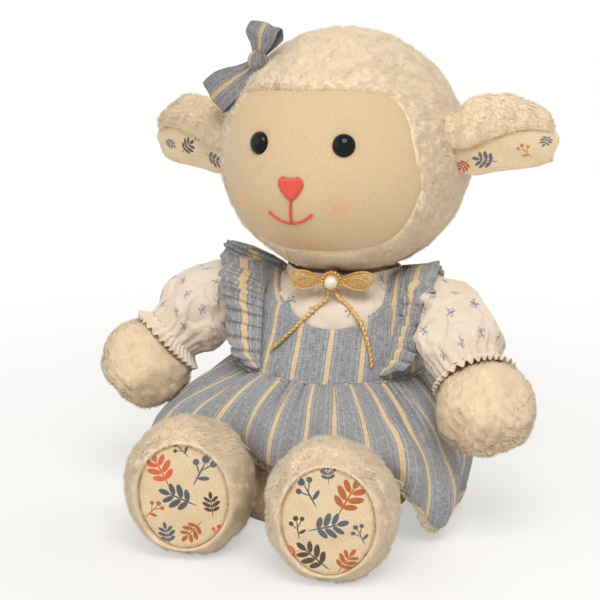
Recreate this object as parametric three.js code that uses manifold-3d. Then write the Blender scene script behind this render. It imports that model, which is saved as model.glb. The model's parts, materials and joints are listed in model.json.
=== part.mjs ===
// A seated plush sheep in a striped pinafore, built as its separate sewn pieces.
// Millimetres, +Z up, the sheep looks along -Y and its left side is +X.
// The origin is the middle of the flat seat under the torso.
import * as THREE from 'three';
import { mergeVertices } from 'three/addons/utils/BufferGeometryUtils.js';
import Module from 'manifold-3d';

const wasm = await Module();
wasm.setup();

// Fabric and clearances
const gap = 0.35;
const overrun = 40;
const plushThickness = 3.2;
const cottonThickness = 1.6;
const floorCut = 0.5;
const trimTolerance = 0.12;

// Torso, as half widths and half depths up a leaning spine
const neckHeight = 154;
const torsoHalfWidth = 68;
const torsoHalfDepth = 61;
const leanSide = 12;
const leanBack = 22;
const leanPower = 1.2;
const torsoShares = [
  [0, 0.84, 0.84], [0.06, 0.94, 0.95], [0.18, 1, 1], [0.4, 0.96, 0.93],
  [0.62, 0.87, 0.82], [0.82, 0.81, 0.76], [0.94, 0.73, 0.7], [1, 0.53, 0.56],
];

// Head, in a frame whose origin is the middle of the neck ball
const neckBallRise = 23;
const neckBallHeight = neckHeight + neckBallRise;
const neckBallRadius = 17;
const neckStemRadius = 12;
const neckStemDepth = 24;
const headRise = 58;
const headHalfWidth = 80;
const headHalfDepth = 79;
const headHalfHeight = 78;
const headTurn = THREE.MathUtils.degToRad(-3.5);
const headRoll = THREE.MathUtils.degToRad(-2.5);
const headNodBack = 4;
const headNodForward = 2;
const headTurnRoom = 2.5;
const headAngles = new THREE.Euler(0, headRoll, headTurn, 'ZYX');
const cheekShare = 0.06;
const faceHalfWidth = 68;
const faceHalfHeight = 52;
const faceDrop = 4;
const faceShares = [
  [0, 1], [0.4, 0.99], [0.68, 0.92], [0.83, 0.74], [0.92, 0.48], [0.98, 0.08],
  [1, -0.18], [0.88, -0.6], [0.7, -0.86], [0.44, -0.97], [0, -1],
];
const faceRecess = 1.2;

// Eyes with their shanks and washers
const eyeSpread = THREE.MathUtils.degToRad(20.5);
const eyeHeight = 15;
const eyeRadius = 7.2;
const eyeDome = 5;
const eyeShankRadius = 2;
const eyeShankLength = 9;
const eyeWasherRadius = 6.5;
const eyeWasherThickness = 1.8;

// Nose and mouth stitching
const noseHalfWidth = 8.8;
const noseHalfHeight = 7;
const noseHeight = -11;
const noseThickness = 2.2;
const noseShift = -4;
const noseShares = [
  [-0.55, 1], [0.55, 1], [0.95, 0.75], [1, 0.4], [0.72, -0.3], [0.32, -0.9],
  [-0.32, -0.9], [-0.72, -0.3], [-1, 0.4], [-0.95, 0.75],
];
const mouthHalfWidth = 15.5;
const mouthHeight = -34;
const mouthRise = 7;
const mouthShift = -7;
const threadWidth = 2;
const threadThickness = 1.3;

// Ears, hinged at their upright root seam
const earRootOut = 78;
const earRootFront = 11;
const leftEarHeight = 9;
const rightEarHeight = 4;
const earLength = 63;
const earSweepBack = 18;
const earArch = 5;
const earHalfHeight = 25;
const earHalfThickness = 10;
const earShares = [
  [0, 0.84, 0.7], [0.14, 1, 0.95], [0.38, 0.92, 1], [0.64, 0.8, 0.92],
  [0.84, 0.62, 0.72], [0.95, 0.38, 0.48], [1, 0.12, 0.2],
];
const earFoldForward = 8;
const earFoldBack = 24;
const earSwingSteps = 4;
const liningInset = 3;
const liningDepth = 2.4;

// Hair bow on the right side of the head
const hairBowOut = 43;
const hairBowFront = 30;
const hairBowHeight = 58;
const hairKnotRadius = 7;
const hairUpperLoopLength = 17;
const hairLowerLoopLength = 33;
const hairLoopHalfWidth = 11.5;
const hairLoopHalfThickness = 4;
const hairUpperWay = [0.22, 0.12, 0.95];
const hairLowerWay = [-0.8, -0.16, -0.62];
const hairLoopFacing = [-0.2, -1, 0.1];
const hairLoopShares = [
  [0, 0.45, 0.5], [0.2, 0.7, 0.8], [0.55, 1, 1], [0.85, 1.05, 0.9], [1, 0.95, 0.45],
];

// Arms, from the shoulder disc to the paw
const shoulderDrop = 20;
const shoulderHeight = neckHeight - shoulderDrop;
const shoulderPlane = 52;
const armholeRadius = 25;
const armRoomShares = [[0, 1.13], [0.22, 1.37], [1.2, 1.75]];
const pawRadius = 31;
const pawLength = 35;
const pawFlatShare = 0.97;
const rightArmReach = 121;
const leftArmReach = 111;
const armDrop = 41;
const rightPawForward = 32;
const leftPawForward = 50;
const armPathShares = [[0, 0, 0], [0.2, 0.12, 0.02], [0.52, 0.4, 0.22], [0.8, 0.72, 0.62], [1, 1, 1]];
const armShares = [
  [0, 0.6], [0.2, 0.64], [0.4, 0.62], [0.52, 0.55], [0.57, 0.61], [0.63, 0.82],
  [0.69, 0.95], [0.76, 1], [0.84, 0.95], [0.91, 0.78], [0.97, 0.45],
];
const sleeveRadius = 29.5;
const sleeveShares = [
  [0.006, 0.8], [0.08, 0.9], [0.2, 1], [0.33, 1.07], [0.44, 1], [0.5, 0.8], [0.54, 0.7],
];
const cuffFlare = 4;
const cuffShares = [0.549, 0.57, 0.6];

// Legs, from the hip ball to the flat printed sole
const hipOut = 36;
const hipFront = 26;
const hipHeight = 27.5;
const hipRadius = 26;
const shinRadius = 24;
const thighStartShare = 0.96;
const footHalfWidth = 40;
const footHalfHeight = 43;
const footHalfDepth = 27;
const rightFootOut = 46;
const rightFootForward = 101;
const leftFootOut = 51;
const leftFootForward = 110;
const footTurn = THREE.MathUtils.degToRad(12);
const footShares = [
  [-1, 0.2], [-0.92, 0.5], [-0.7, 0.76], [-0.35, 0.93], [0.05, 1], [0.45, 0.98],
  [0.75, 0.9], [0.93, 0.78], [1, 0.62],
];
const soleHalfWidth = 29;
const soleHalfHeight = 35;
const soleRecess = 0.8;
const legOpeningRadius = 9;
const legSplayOut = 8;
const legSplayIn = 3;

// Pinafore
const waistDrop = 58;
const waistHeight = neckHeight - waistDrop;
const dressTurn = THREE.MathUtils.degToRad(13);
const bodiceDrop = 10;
const bodiceTop = neckHeight - bodiceDrop;
const necklineHalfWidth = 29;
const necklineDrop = 14;
const strapWidth = 13;
const strapSlant = 5;
const ruffleWidth = 15;
const ruffleShoulderWidth = 18;
const ruffleRise = 20;
const ruffleAheadShare = { left: 1.2, right: 0.25 };
const ruffleOutShare = { left: 0.6, right: 1 };
const ruffleInset = { left: 8, right: 0 };
const ruffleFoldDepth = 1.6;
const ruffleFolds = 7;
const rufflePower = 3;
const ruffleTurnOver = 2.5;
const skirtHalfWidth = 98;
const skirtHalfDepth = 84;
const skirtLift = 58;
const laceDrop = 8;
const skirtFolds = 12;
const skirtFoldDepth = 2.4;
const skirtBulgeHeightShare = 0.52;
// Around the hem from the front over the left thigh: side, depth, height, bulge
const hemShares = [
  [0.02, -0.95, 0.93, 1.15], [0.42, -0.92, 1.06, 1.2], [0.86, -0.86, 0.8, 1.25],
  [0.99, -0.58, 0.24, 1.5], [1, -0.12, 0.19, 1.6], [0.92, 0.4, 0.19, 1.6],
  [0.6, 0.8, 0.19, 1.5], [0.08, 0.95, 0.19, 1.45], [-0.46, 0.83, 0.19, 1.5],
  [-0.86, 0.43, 0.19, 1.6], [-1, -0.08, 0.19, 1.6], [-0.98, -0.48, 0.24, 1.5],
  [-0.84, -0.74, 0.76, 1.25], [-0.42, -0.8, 1.06, 1.2],
];

// Gold cord bow with its pearl, and the routes of its two hanging tails
const neckBowRise = 6;
const neckBowHeight = neckHeight + neckBowRise;
const collarHeight = 4;
const collarRadiusShare = 0.53;
const neckKnotRadius = 7;
const neckKnotThickness = 3;
const knotSeatDepth = 8.5;
const pearlRadius = 4.4;
const neckLoopLength = 21;
const neckLoopHalfWidth = 6.5;
const neckLoopHalfThickness = 1.6;
const neckLoopShares = [
  [0, 0.35, 0.8], [0.25, 0.8, 1], [0.6, 1, 1], [0.88, 0.85, 1], [1, 0.35, 0.8],
];
const tailRadius = 1.4;
const tailStep = 7;
const tailSides = 8;
// Each point is its side, its depth and its drop under the neck's height.
const rightTailRoute = [
  [18.1, -24.6, 1.1], [17, -25.3, 5.5], [10, -27.6, 12.5], [3, -31.1, 19.5], [-4, -33, 27],
  [-11, -33.7, 34], [-18.3, -33, 41],
];
const leftTailRoute = [
  [21.9, -24.2, 1.4], [24.5, -23.9, 5], [31, -23.2, 10.5], [38, -24.9, 17.5], [43, -26.1, 27],
  [46.5, -26.7, 38], [48, -27.3, 48],
];

// Facets
const bodySides = 20;
const limbSides = 12;
const oddSides = 13;
const neckBallSides = 20;
const headRows = 10;
const skirtColumns = 36;
const skirtRows = 4;
const ruffleColumns = 23;
const ruffleRows = 2;

// Colours and finishes
const plush = { color: 0xe9d5b4, roughness: 0.95, metalness: 0 };
const smoothPlush = { color: 0xe9cda0, roughness: 0.85, metalness: 0 };
const fibre = { color: 0xf3f0ea, roughness: 1, metalness: 0 };
const blouseCotton = { color: 0xeee0cc, roughness: 0.9, metalness: 0 };
const stripedCotton = { color: 0x8f97a1, roughness: 0.88, metalness: 0 };
const lace = { color: 0xe6d8bd, roughness: 0.9, metalness: 0 };
const coralThread = { color: 0xe0553a, roughness: 0.55, metalness: 0 };
const blackPlastic = { color: 0x0c0a09, roughness: 0.12, metalness: 0 };
const whitePlastic = { color: 0xe6e4de, roughness: 0.4, metalness: 0 };
const goldCord = { color: 0xc79a4a, roughness: 0.4, metalness: 0.3 };
const pearl = { color: 0xf1e6d2, roughness: 0.2, metalness: 0 };

const vec = (x, y, z) => new THREE.Vector3(x, y, z);
const lerp = THREE.MathUtils.lerp;
const sideOf = { left: 1, right: -1 };

// Reads one column of a table of shares at a place between its rows.
function sampleShares(table, at, column) {
  const last = table.length - 1;
  let row = 0;
  while (row < last - 1 && table[row + 1][0] < at) row += 1;
  const span = table[row + 1][0] - table[row][0];
  const local = THREE.MathUtils.clamp((at - table[row][0]) / span, 0, 1);
  return lerp(table[row][column], table[row + 1][column], local);
}

// A closed geometry from points and faces, with its faces turned outwards.
function closedGeometry(points, index) {
  const position = new Float32Array(points.length * 3);
  points.forEach((point, i) => point.toArray(position, i * 3));
  let volume = 0;
  for (let i = 0; i < index.length; i += 3) {
    const [a, b, c] = [points[index[i]], points[index[i + 1]], points[index[i + 2]]];
    volume += a.dot(vec(0, 0, 0).crossVectors(b, c));
  }
  if (volume < 0) index.reverse();
  const geometry = new THREE.BufferGeometry();
  geometry.setAttribute('position', new THREE.BufferAttribute(position, 3));
  geometry.setIndex(index);
  return geometry;
}

// Rings of points joined one to the next, with both ends closed by a fan.
function ringGeometry(rings) {
  const sides = rings[0].length;
  const points = rings.flat();
  const index = [];
  const middle = (ring) => ring.reduce((sum, p) => sum.add(p), vec(0, 0, 0)).divideScalar(sides);
  const first = points.push(middle(rings[0])) - 1;
  const last = points.push(middle(rings[rings.length - 1])) - 1;
  const end = (rings.length - 1) * sides;
  for (let s = 0; s < sides; s += 1) {
    const next = (s + 1) % sides;
    index.push(first, next, s);
    index.push(last, end + s, end + next);
    for (let r = 0; r < end; r += sides) {
      index.push(r + s, r + next, r + sides + s);
      index.push(r + next, r + sides + next, r + sides + s);
    }
  }
  return closedGeometry(points, index);
}

// A sheet with thickness between two grids of points, open or closed around.
function slabGeometry(front, back, around) {
  const columns = front.length;
  const rows = front[0].length;
  const points = [...front.flat(), ...back.flat()];
  const backStart = columns * rows;
  const index = [];
  const quad = (a, b, c, d) => index.push(a, b, c, a, c, d);
  const spans = around ? columns : columns - 1;
  for (let i = 0; i < spans; i += 1) {
    const here = i * rows;
    const there = ((i + 1) % columns) * rows;
    for (let j = 0; j < rows - 1; j += 1) {
      quad(here + j, there + j, there + j + 1, here + j + 1);
      quad(backStart + here + j, backStart + here + j + 1, backStart + there + j + 1, backStart + there + j);
    }
    quad(here, backStart + here, backStart + there, there);
    quad(here + rows - 1, there + rows - 1, backStart + there + rows - 1, backStart + here + rows - 1);
  }
  if (!around) {
    const lastColumn = (columns - 1) * rows;
    for (let j = 0; j < rows - 1; j += 1) {
      quad(j, j + 1, backStart + j + 1, backStart + j);
      quad(lastColumn + j, backStart + lastColumn + j, backStart + lastColumn + j + 1, lastColumn + j + 1);
    }
  }
  return closedGeometry(points, index);
}

// Any closed three.js geometry as a solid that can be joined and cut.
function solid(geometry) {
  const bare = geometry.clone();
  bare.deleteAttribute('normal');
  bare.deleteAttribute('uv');
  const merged = mergeVertices(bare);
  return new wasm.Manifold(new wasm.Mesh({
    numProp: 3,
    vertProperties: Float32Array.from(merged.attributes.position.array),
    triVerts: Uint32Array.from(merged.index.array),
  }));
}

const cut = (piece, ...cutters) => cutters.reduce((left, cutter) => left.subtract(cutter), piece);
const join = (piece, ...others) => others.reduce((whole, other) => whole.add(other), piece);

// The largest body of a cut piece, without the crumbs a cut can leave.
function mainBody(piece) {
  const bodies = piece.decompose();
  return bodies.reduce((best, body) => (body.volume() > best.volume() ? body : best), bodies[0]);
}

function geometryOf(piece) {
  const mesh = piece.asOriginal().simplify(trimTolerance).getMesh();
  const geometry = new THREE.BufferGeometry();
  geometry.setAttribute('position', new THREE.BufferAttribute(Float32Array.from(mesh.vertProperties), 3));
  geometry.setIndex(Array.from(mesh.triVerts));
  geometry.computeVertexNormals();
  return geometry;
}

function addPart(group, name, piece, finish) {
  const mesh = new THREE.Mesh(geometryOf(piece), new THREE.MeshStandardMaterial(finish));
  mesh.name = name;
  group.add(mesh);
  return mesh;
}

function placed(piece, matrix) {
  return piece.transform(Array.from(matrix.elements));
}

function box(low, high) {
  const size = high.clone().sub(low);
  const geometry = new THREE.BoxGeometry(size.x, size.y, size.z);
  const middle = low.clone().add(high).multiplyScalar(0.5);
  geometry.translate(middle.x, middle.y, middle.z);
  return solid(geometry);
}

function ball(centre, radius, sides = limbSides) {
  const geometry = new THREE.SphereGeometry(radius, sides, sides / 2);
  geometry.translate(centre.x, centre.y, centre.z);
  return solid(geometry);
}

// A round bar between two points.
function bar(from, to, radius, sides = limbSides) {
  const along = to.clone().sub(from);
  const geometry = new THREE.CylinderGeometry(radius, radius, along.length(), sides);
  const turn = new THREE.Quaternion().setFromUnitVectors(vec(0, 1, 0), along.clone().normalize());
  geometry.applyQuaternion(turn);
  const middle = from.clone().add(to).multiplyScalar(0.5);
  geometry.translate(middle.x, middle.y, middle.z);
  return solid(geometry);
}

// A front-view outline of side and height pairs, extruded from one depth to another.
function frontPrism(outline, fromDepth, toDepth) {
  const shape = new THREE.Shape(outline.map(([x, z]) => new THREE.Vector2(x, z)));
  const depth = toDepth - fromDepth;
  const geometry = new THREE.ExtrudeGeometry(shape, { depth, bevelEnabled: false, curveSegments: 6 });
  geometry.rotateX(Math.PI / 2);
  geometry.translate(0, toDepth, 0);
  return solid(geometry);
}

// Ring of an oval section around a centre.
function oval(centre, right, up, halfWidth, halfHeight, sides) {
  return Array.from({ length: sides }, (_, s) => {
    const angle = (2 * Math.PI * s) / sides;
    const point = centre.clone().addScaledVector(right, halfWidth * Math.cos(angle));
    return point.addScaledVector(up, halfHeight * Math.sin(angle));
  });
}

// A padded form along a curve, its oval sections given by a table of shares.
function paddedForm(curve, table, halfWidth, halfHeight, grow, sides = limbSides) {
  const rings = table.map((row) => {
    const [at, widthShare, heightShare = row[1]] = row;
    const along = curve.getTangentAt(at);
    const right = vec(0, 0, 0).crossVectors(along, vec(0, 0, 1)).normalize();
    const up = vec(0, 0, 0).crossVectors(right, along);
    const end = at === table[0][0] ? -1 : Number(at === table[table.length - 1][0]);
    const centre = curve.getPointAt(at).addScaledVector(along, end * grow);
    return oval(centre, right, up, widthShare * halfWidth + grow, heightShare * halfHeight + grow, sides);
  });
  return solid(ringGeometry(rings));
}

// The spine leans back and to one side as it rises.
function spine(height) {
  const rise = (THREE.MathUtils.clamp(height, 0, neckBallHeight) / neckHeight) ** leanPower;
  return vec(leanSide * rise, leanBack * rise, height);
}

const torsoHalves = (height) => [
  torsoHalfWidth * sampleShares(torsoShares, height / neckHeight, 1),
  torsoHalfDepth * sampleShares(torsoShares, height / neckHeight, 2),
];

// The torso with its surface moved out by grow, from its floor to its top.
function torsoForm(grow, floor = 0, top = neckHeight + grow) {
  const between = torsoShares.map((row) => row[0] * neckHeight).filter((z) => z > floor && z < top);
  const rings = [floor, ...between, top].map((height) => {
    const [halfWidth, halfDepth] = torsoHalves(height);
    return oval(spine(height), vec(1, 0, 0), vec(0, 1, 0), halfWidth + grow, halfDepth + grow, bodySides);
  });
  return solid(ringGeometry(rings));
}

const blouseOut = gap + cottonThickness;
const dressOut = blouseOut + gap + cottonThickness;
// Room for a ball whose facets turn inside a faceted socket.
const socketRadius = (radius, sides = limbSides) => (radius + gap) / Math.cos(Math.PI / sides) ** 2;
const neckPoint = spine(neckBallHeight);
const headCentre = vec(0, 0, headRise);
const shoulderPoint = (side) => spine(shoulderHeight).add(vec(sideOf[side] * shoulderPlane, 0, 0));

function layer(outer) {
  const inner = outer - cottonThickness;
  return cut(torsoForm(outer, -overrun), torsoForm(inner, -overrun - overrun, neckHeight + outer + overrun));
}

const above = (height) => box(vec(-overrun - skirtHalfWidth, -overrun - skirtHalfWidth, height),
  vec(overrun + skirtHalfWidth, overrun + skirtHalfWidth, neckHeight + neckBallHeight));
const below = (height) => box(vec(-overrun - skirtHalfWidth, -2 * skirtHalfWidth, -2 * overrun),
  vec(overrun + skirtHalfWidth, overrun + skirtHalfWidth, height));

function armhole(side, radius) {
  const start = shoulderPoint(side).add(vec(-sideOf[side] * shoulderPlane / 2, 0, 0));
  return bar(start, shoulderPoint(side).add(vec(sideOf[side] * overrun, 0, 0)), radius);
}

// The room beside the torso in which an arm turns about its shoulder.
function armRoom(side) {
  const profile = armRoomShares.map(([out, share]) => new THREE.Vector2(share, out).multiplyScalar(sleeveRadius));
  profile.unshift(new THREE.Vector2(0, 0));
  profile.push(new THREE.Vector2(0, profile[profile.length - 1].y));
  const geometry = new THREE.LatheGeometry(profile, limbSides);
  geometry.rotateZ(-sideOf[side] * Math.PI / 2);
  const start = shoulderPoint(side);
  geometry.translate(start.x, start.y, start.z);
  return solid(geometry);
}
const armRooms = [armRoom('left'), armRoom('right')];

const turnAbout = (point, axis, angle) => new THREE.Matrix4().makeTranslation(point.x, point.y, point.z)
  .multiply(new THREE.Matrix4().makeRotationAxis(axis, angle))
  .multiply(new THREE.Matrix4().makeTranslation(-point.x, -point.y, -point.z));

// Legs and feet
const footAxis = vec(Math.sin(footTurn), -Math.cos(footTurn), 0);
const footRight = vec(Math.cos(footTurn), Math.sin(footTurn), 0);
const footPlaces = {
  right: vec(-rightFootOut, -rightFootForward, footHalfHeight - floorCut),
  left: vec(leftFootOut, -leftFootForward, footHalfHeight - floorCut),
};
const hipPoint = (side) => vec(sideOf[side] * hipOut, -hipFront, hipHeight);

function footForm(side, grow) {
  const rings = footShares.map(([at, share]) => {
    const centre = footPlaces[side].clone().addScaledVector(footAxis, at * (footHalfDepth + grow));
    const halfWidth = share * footHalfWidth + grow;
    const halfHeight = share * footHalfHeight + grow;
    return oval(centre, footRight, vec(0, 0, 1), halfWidth, halfHeight, limbSides);
  });
  return solid(ringGeometry(rings));
}

function thighForm(side, grow) {
  const ankle = footPlaces[side].clone().setZ(hipHeight);
  const curve = new THREE.LineCurve3(hipPoint(side), ankle);
  const shinShare = shinRadius / hipRadius;
  const shares = [[0, thighStartShare], [0.5, shinShare], [1, shinShare]];
  return paddedForm(curve, shares, hipRadius, hipRadius, grow);
}

function legForm(side, grow) {
  return join(ball(hipPoint(side), hipRadius + grow), thighForm(side, grow), footForm(side, grow));
}

// The room a leg needs: one round socket and its thigh at both ends of the splay.
function legSweep(side) {
  const socket = ball(hipPoint(side), socketRadius(hipRadius));
  const turns = [-legSplayIn, legSplayOut].map((degrees) => {
    const angle = THREE.MathUtils.degToRad(degrees * sideOf[side]);
    return placed(thighForm(side, 2 * gap), turnAbout(hipPoint(side), vec(0, 0, 1), angle));
  });
  return join(socket, ...turns);
}

function solePrism(side, grow) {
  const centre = footPlaces[side];
  const from = oval(centre, footRight, vec(0, 0, 1), soleHalfWidth + grow, soleHalfHeight + grow, oddSides);
  const shift = footAxis.clone().multiplyScalar(footHalfDepth + overrun);
  const to = from.map((point) => point.clone().add(shift));
  return solid(ringGeometry([from, to]));
}

function addLeg(group, side) {
  const floor = below(0);
  const inner = legForm(side, -plushThickness);
  const hip = hipPoint(side);
  const opening = bar(hip, hip.clone().add(vec(0, overrun, 0)), legOpeningRadius, oddSides);
  const cover = cut(legForm(side, 0), inner, opening, solePrism(side, gap), floor);
  const stuffing = legForm(side, -plushThickness - gap);
  const sole = cut(legForm(side, -soleRecess), inner, floor).intersect(solePrism(side, 0));
  addPart(group, `${side}_leg_cover`, mainBody(cover), plush);
  addPart(group, `${side}_leg_stuffing`, stuffing, fibre);
  addPart(group, `${side}_foot_sole`, mainBody(sole), blouseCotton);
}

// Torso with its neck opening and a socket for each leg
function neckHole(radius) {
  const top = neckPoint.clone();
  return bar(top.clone().setZ(neckHeight - neckStemDepth - gap), top, radius);
}

function addTorso(group) {
  const sweeps = [legSweep('left'), legSweep('right')];
  const inner = torsoForm(-plushThickness, plushThickness);
  const cover = cut(torsoForm(0), inner, ...sweeps, ...armRooms, neckHole(socketRadius(neckStemRadius)));
  const core = torsoForm(-plushThickness - gap, plushThickness + gap);
  addPart(group, 'torso_cover', mainBody(cover), plush);
  const stuffing = cut(core, ...sweeps, ...armRooms, neckHole(socketRadius(neckStemRadius)));
  addPart(group, 'torso_stuffing', mainBody(stuffing), fibre);
}

// Blouse with a stand collar and a short stub at each shoulder
function shoulderStub(side, grow) {
  return bar(spine(shoulderHeight), shoulderPoint(side), pawRadius * armShares[0][1] + grow);
}

const collarRadius = collarRadiusShare * torsoHalfWidth;
function collarBlock(grow) {
  const foot = spine(neckHeight).setZ(neckHeight - cottonThickness - grow);
  const top = foot.clone().setZ(neckHeight + collarHeight + grow);
  return bar(foot, top, collarRadius + cottonThickness + grow);
}

function addBlouse(group) {
  const wearer = torsoForm(gap, -overrun);
  const stubs = ['left', 'right'].map((side) => shoulderStub(side, 0));
  const top = spine(neckHeight).setZ(neckBallHeight);
  const neckRoom = bar(top.clone().setZ(0), top, collarRadius - cottonThickness);
  const shirt = join(layer(blouseOut), ...stubs, cut(collarBlock(0), neckRoom));
  const hem = waistHeight - 2 * cottonThickness;
  addPart(group, 'blouse_body', mainBody(cut(shirt, wearer, ...armRooms, below(hem))), blouseCotton);
}

// Pinafore top: bodice, straps and ruffles
const dressFrame = turnAbout(spine(waistHeight), vec(0, 0, 1), dressTurn);

function strapOutline(side, grow) {
  const way = sideOf[side];
  const centre = spine(bodiceTop).x;
  const inner = necklineHalfWidth;
  const points = [
    [centre + way * (inner - grow), waistHeight],
    [centre + way * (inner + strapWidth + grow), waistHeight],
    [centre + way * (inner + strapSlant + strapWidth + grow), neckBallHeight],
    [centre + way * (inner + strapSlant - grow), neckBallHeight],
  ];
  return side === 'left' ? points : points.reverse();
}

function strapPrism(side, grow) {
  return placed(frontPrism(strapOutline(side, grow), -2 * torsoHalfDepth, 2 * torsoHalfDepth), dressFrame);
}

function necklinePrism() {
  const centre = spine(bodiceTop).x;
  const steps = 8;
  const points = Array.from({ length: steps + 1 }, (_, i) => {
    const across = 2 * (i / steps) - 1;
    return [centre + necklineHalfWidth * across, bodiceTop - necklineDrop * (1 - across ** 2)];
  });
  points.push([centre + necklineHalfWidth, neckBallHeight], [centre - necklineHalfWidth, neckBallHeight]);
  return placed(frontPrism(points, -2 * torsoHalfDepth, 2 * torsoHalfDepth), dressFrame);
}

function addBodice(group) {
  const cloth = layer(dressOut);
  const holes = ['left', 'right'].map((side) => armhole(side, armholeRadius));
  const bodice = cut(cloth, below(waistHeight), above(bodiceTop), necklinePrism(), ...holes, ...armRooms);
  addPart(group, 'dress_bodice', mainBody(bodice), stripedCotton);
  for (const side of ['left', 'right']) {
    const strap = cut(cloth, below(bodiceTop + gap)).intersect(strapPrism(side, 0));
    const cleared = cut(strap, shoulderStub(side, gap), collarBlock(gap), armRoom(side));
    addPart(group, `${side}_strap`, mainBody(cleared), stripedCotton);
  }
}

// A point of the pinafore's surface at a height, a side offset and the front or back.
function dressSurface(height, offset, facing, grow) {
  const [halfWidth, halfDepth] = torsoHalves(Math.min(height, neckHeight));
  const across = THREE.MathUtils.clamp(offset / (halfWidth + grow), -1, 1);
  const depth = facing * (halfDepth + grow) * Math.sqrt(1 - across ** 2);
  return spine(height).add(vec(across * (halfWidth + grow), depth, 0));
}

// The head at both ends of its nod, with room for its turn.
function headRooms() {
  const turned = new THREE.Matrix4().makeRotationFromEuler(headAngles);
  const axis = vec(1, 0, 0);
  return [-headNodBack, headNodForward].map((degrees) => {
    const nod = new THREE.Matrix4().makeRotationAxis(axis, THREE.MathUtils.degToRad(degrees));
    const place = new THREE.Matrix4().makeTranslation(neckPoint.x, neckPoint.y, neckPoint.z);
    return placed(headForm(headTurnRoom), place.multiply(nod).multiply(turned));
  });
}

// The ruffle's root at a place from -1 at the front waist to 1 at the back waist.
const ruffleUp = (along) => 1 - Math.min(1, Math.abs(along)) ** rufflePower;
function ruffleRoot(side, along) {
  const shoulderTop = neckHeight + dressOut + 2 * gap;
  const height = lerp(waistHeight + ruffleWidth / 4, shoulderTop, ruffleUp(along));
  const offset = necklineHalfWidth + strapWidth - ruffleInset[side] + strapSlant * ruffleUp(along);
  const facing = THREE.MathUtils.clamp(along * ruffleTurnOver, -1, 1);
  return dressSurface(height, sideOf[side] * offset, facing, dressOut - cottonThickness);
}

function addRuffle(group, side) {
  const way = sideOf[side];
  const sheet = [[], []];
  for (let i = 0; i < ruffleColumns; i += 1) {
    const along = 2 * (i / (ruffleColumns - 1)) - 1;
    const up = ruffleUp(along);
    const root = ruffleRoot(side, along);
    const width = lerp(ruffleWidth, ruffleShoulderWidth, up);
    const fold = ruffleFoldDepth * Math.cos(2 * Math.PI * ruffleFolds * (i / (ruffleColumns - 1)));
    const ahead = along * ruffleAheadShare[side] * (1 - up ** 2);
    const outward = vec(way * width * ruffleOutShare[side], width * ahead, ruffleRise * up);
    const step = 1 / ruffleColumns;
    const rootAhead = ruffleRoot(side, along + step).sub(ruffleRoot(side, along - step));
    const face = vec(0, 0, 0).crossVectors(outward, rootAhead).normalize();
    const columns = [[], []];
    for (let j = 0; j <= ruffleRows; j += 1) {
      const reach = j / ruffleRows;
      const point = root.clone().addScaledVector(outward, reach).addScaledVector(face, fold * reach);
      columns[0].push(point.clone().addScaledVector(face, cottonThickness / 2));
      columns[1].push(point.clone().addScaledVector(face, -cottonThickness / 2));
    }
    sheet[0].push(columns[0]);
    sheet[1].push(columns[1]);
  }
  const cloth = placed(solid(slabGeometry(sheet[0], sheet[1], false)), dressFrame);
  const cleared = cut(cloth, torsoForm(dressOut + gap, -overrun), shoulderStub(side, gap), armRoom(side),
    ...headRooms());
  addPart(group, `${side}_ruffle`, mainBody(cleared), stripedCotton);
}

// Skirt: each column bends from the waist over a bulge to the hem
function hemCurve(column) {
  const points = hemShares.map((row) => vec(row[column[0]], row[column[1]], 0));
  return new THREE.CatmullRomCurve3(points, true, 'centripetal');
}
const hemPlan = hemCurve([0, 1]);
const hemRise = hemCurve([2, 3]);

function hemAt(around) {
  const plan = hemPlan.getPoint(around);
  const rise = hemRise.getPoint(around);
  const place = vec(plan.x * skirtHalfWidth, plan.y * skirtHalfDepth, rise.x * skirtLift);
  return [place, rise.y];
}

function skirtPoint(around, down, grow) {
  const [hem, bulgeShare] = hemAt(around);
  const middle = spine(waistHeight);
  const [halfWidth, halfDepth] = torsoHalves(waistHeight);
  const bearing = Math.atan2((hem.y - middle.y) / halfDepth, (hem.x - middle.x) / halfWidth);
  const waistGrow = dressOut + gap + grow;
  const waist = middle.add(vec((halfWidth + waistGrow) * Math.cos(bearing),
    (halfDepth + waistGrow) * Math.sin(bearing), 0));
  const bulge = waist.clone().lerp(hem, bulgeShare);
  bulge.z = lerp(hem.z, waistHeight, skirtBulgeHeightShare);
  const up = 1 - down;
  const point = waist.clone().multiplyScalar(up * up);
  point.addScaledVector(bulge, 2 * up * down).addScaledVector(hem, down * down);
  const outward = vec(Math.cos(bearing), Math.sin(bearing), 0);
  const fold = skirtFoldDepth * down * Math.cos(2 * Math.PI * skirtFolds * around);
  return point.addScaledVector(outward, fold);
}

function skirtSlab(fromDown, toDown, rows, offset) {
  const step = 1 / (4 * skirtColumns);
  const sheets = [[], []];
  for (let i = 0; i < skirtColumns; i += 1) {
    const around = i / skirtColumns;
    const columns = [[], []];
    for (let j = 0; j <= rows; j += 1) {
      const down = lerp(fromDown, toDown, j / rows);
      const point = skirtPoint(around, down, 0);
      const beside = skirtPoint(around + step, down, 0).sub(skirtPoint(around - step, down, 0));
      const under = skirtPoint(around, down + step, 0).sub(skirtPoint(around, down - step, 0));
      const outward = vec(0, 0, 0).crossVectors(under, beside).normalize();
      columns[0].push(point.clone().addScaledVector(outward, offset));
      columns[1].push(point.clone().addScaledVector(outward, offset - cottonThickness));
    }
    sheets[0].push(columns[0]);
    sheets[1].push(columns[1]);
  }
  return solid(slabGeometry(sheets[0], sheets[1], true));
}

function addSkirt(group) {
  addPart(group, 'skirt', skirtSlab(0, 1, skirtRows, 0), stripedCotton);
  const hemDepth = skirtLift;
  const laceStart = 1 + gap / hemDepth;
  addPart(group, 'skirt_lace', skirtSlab(laceStart, laceStart + laceDrop / hemDepth, 1, 0), lace);
}

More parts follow.
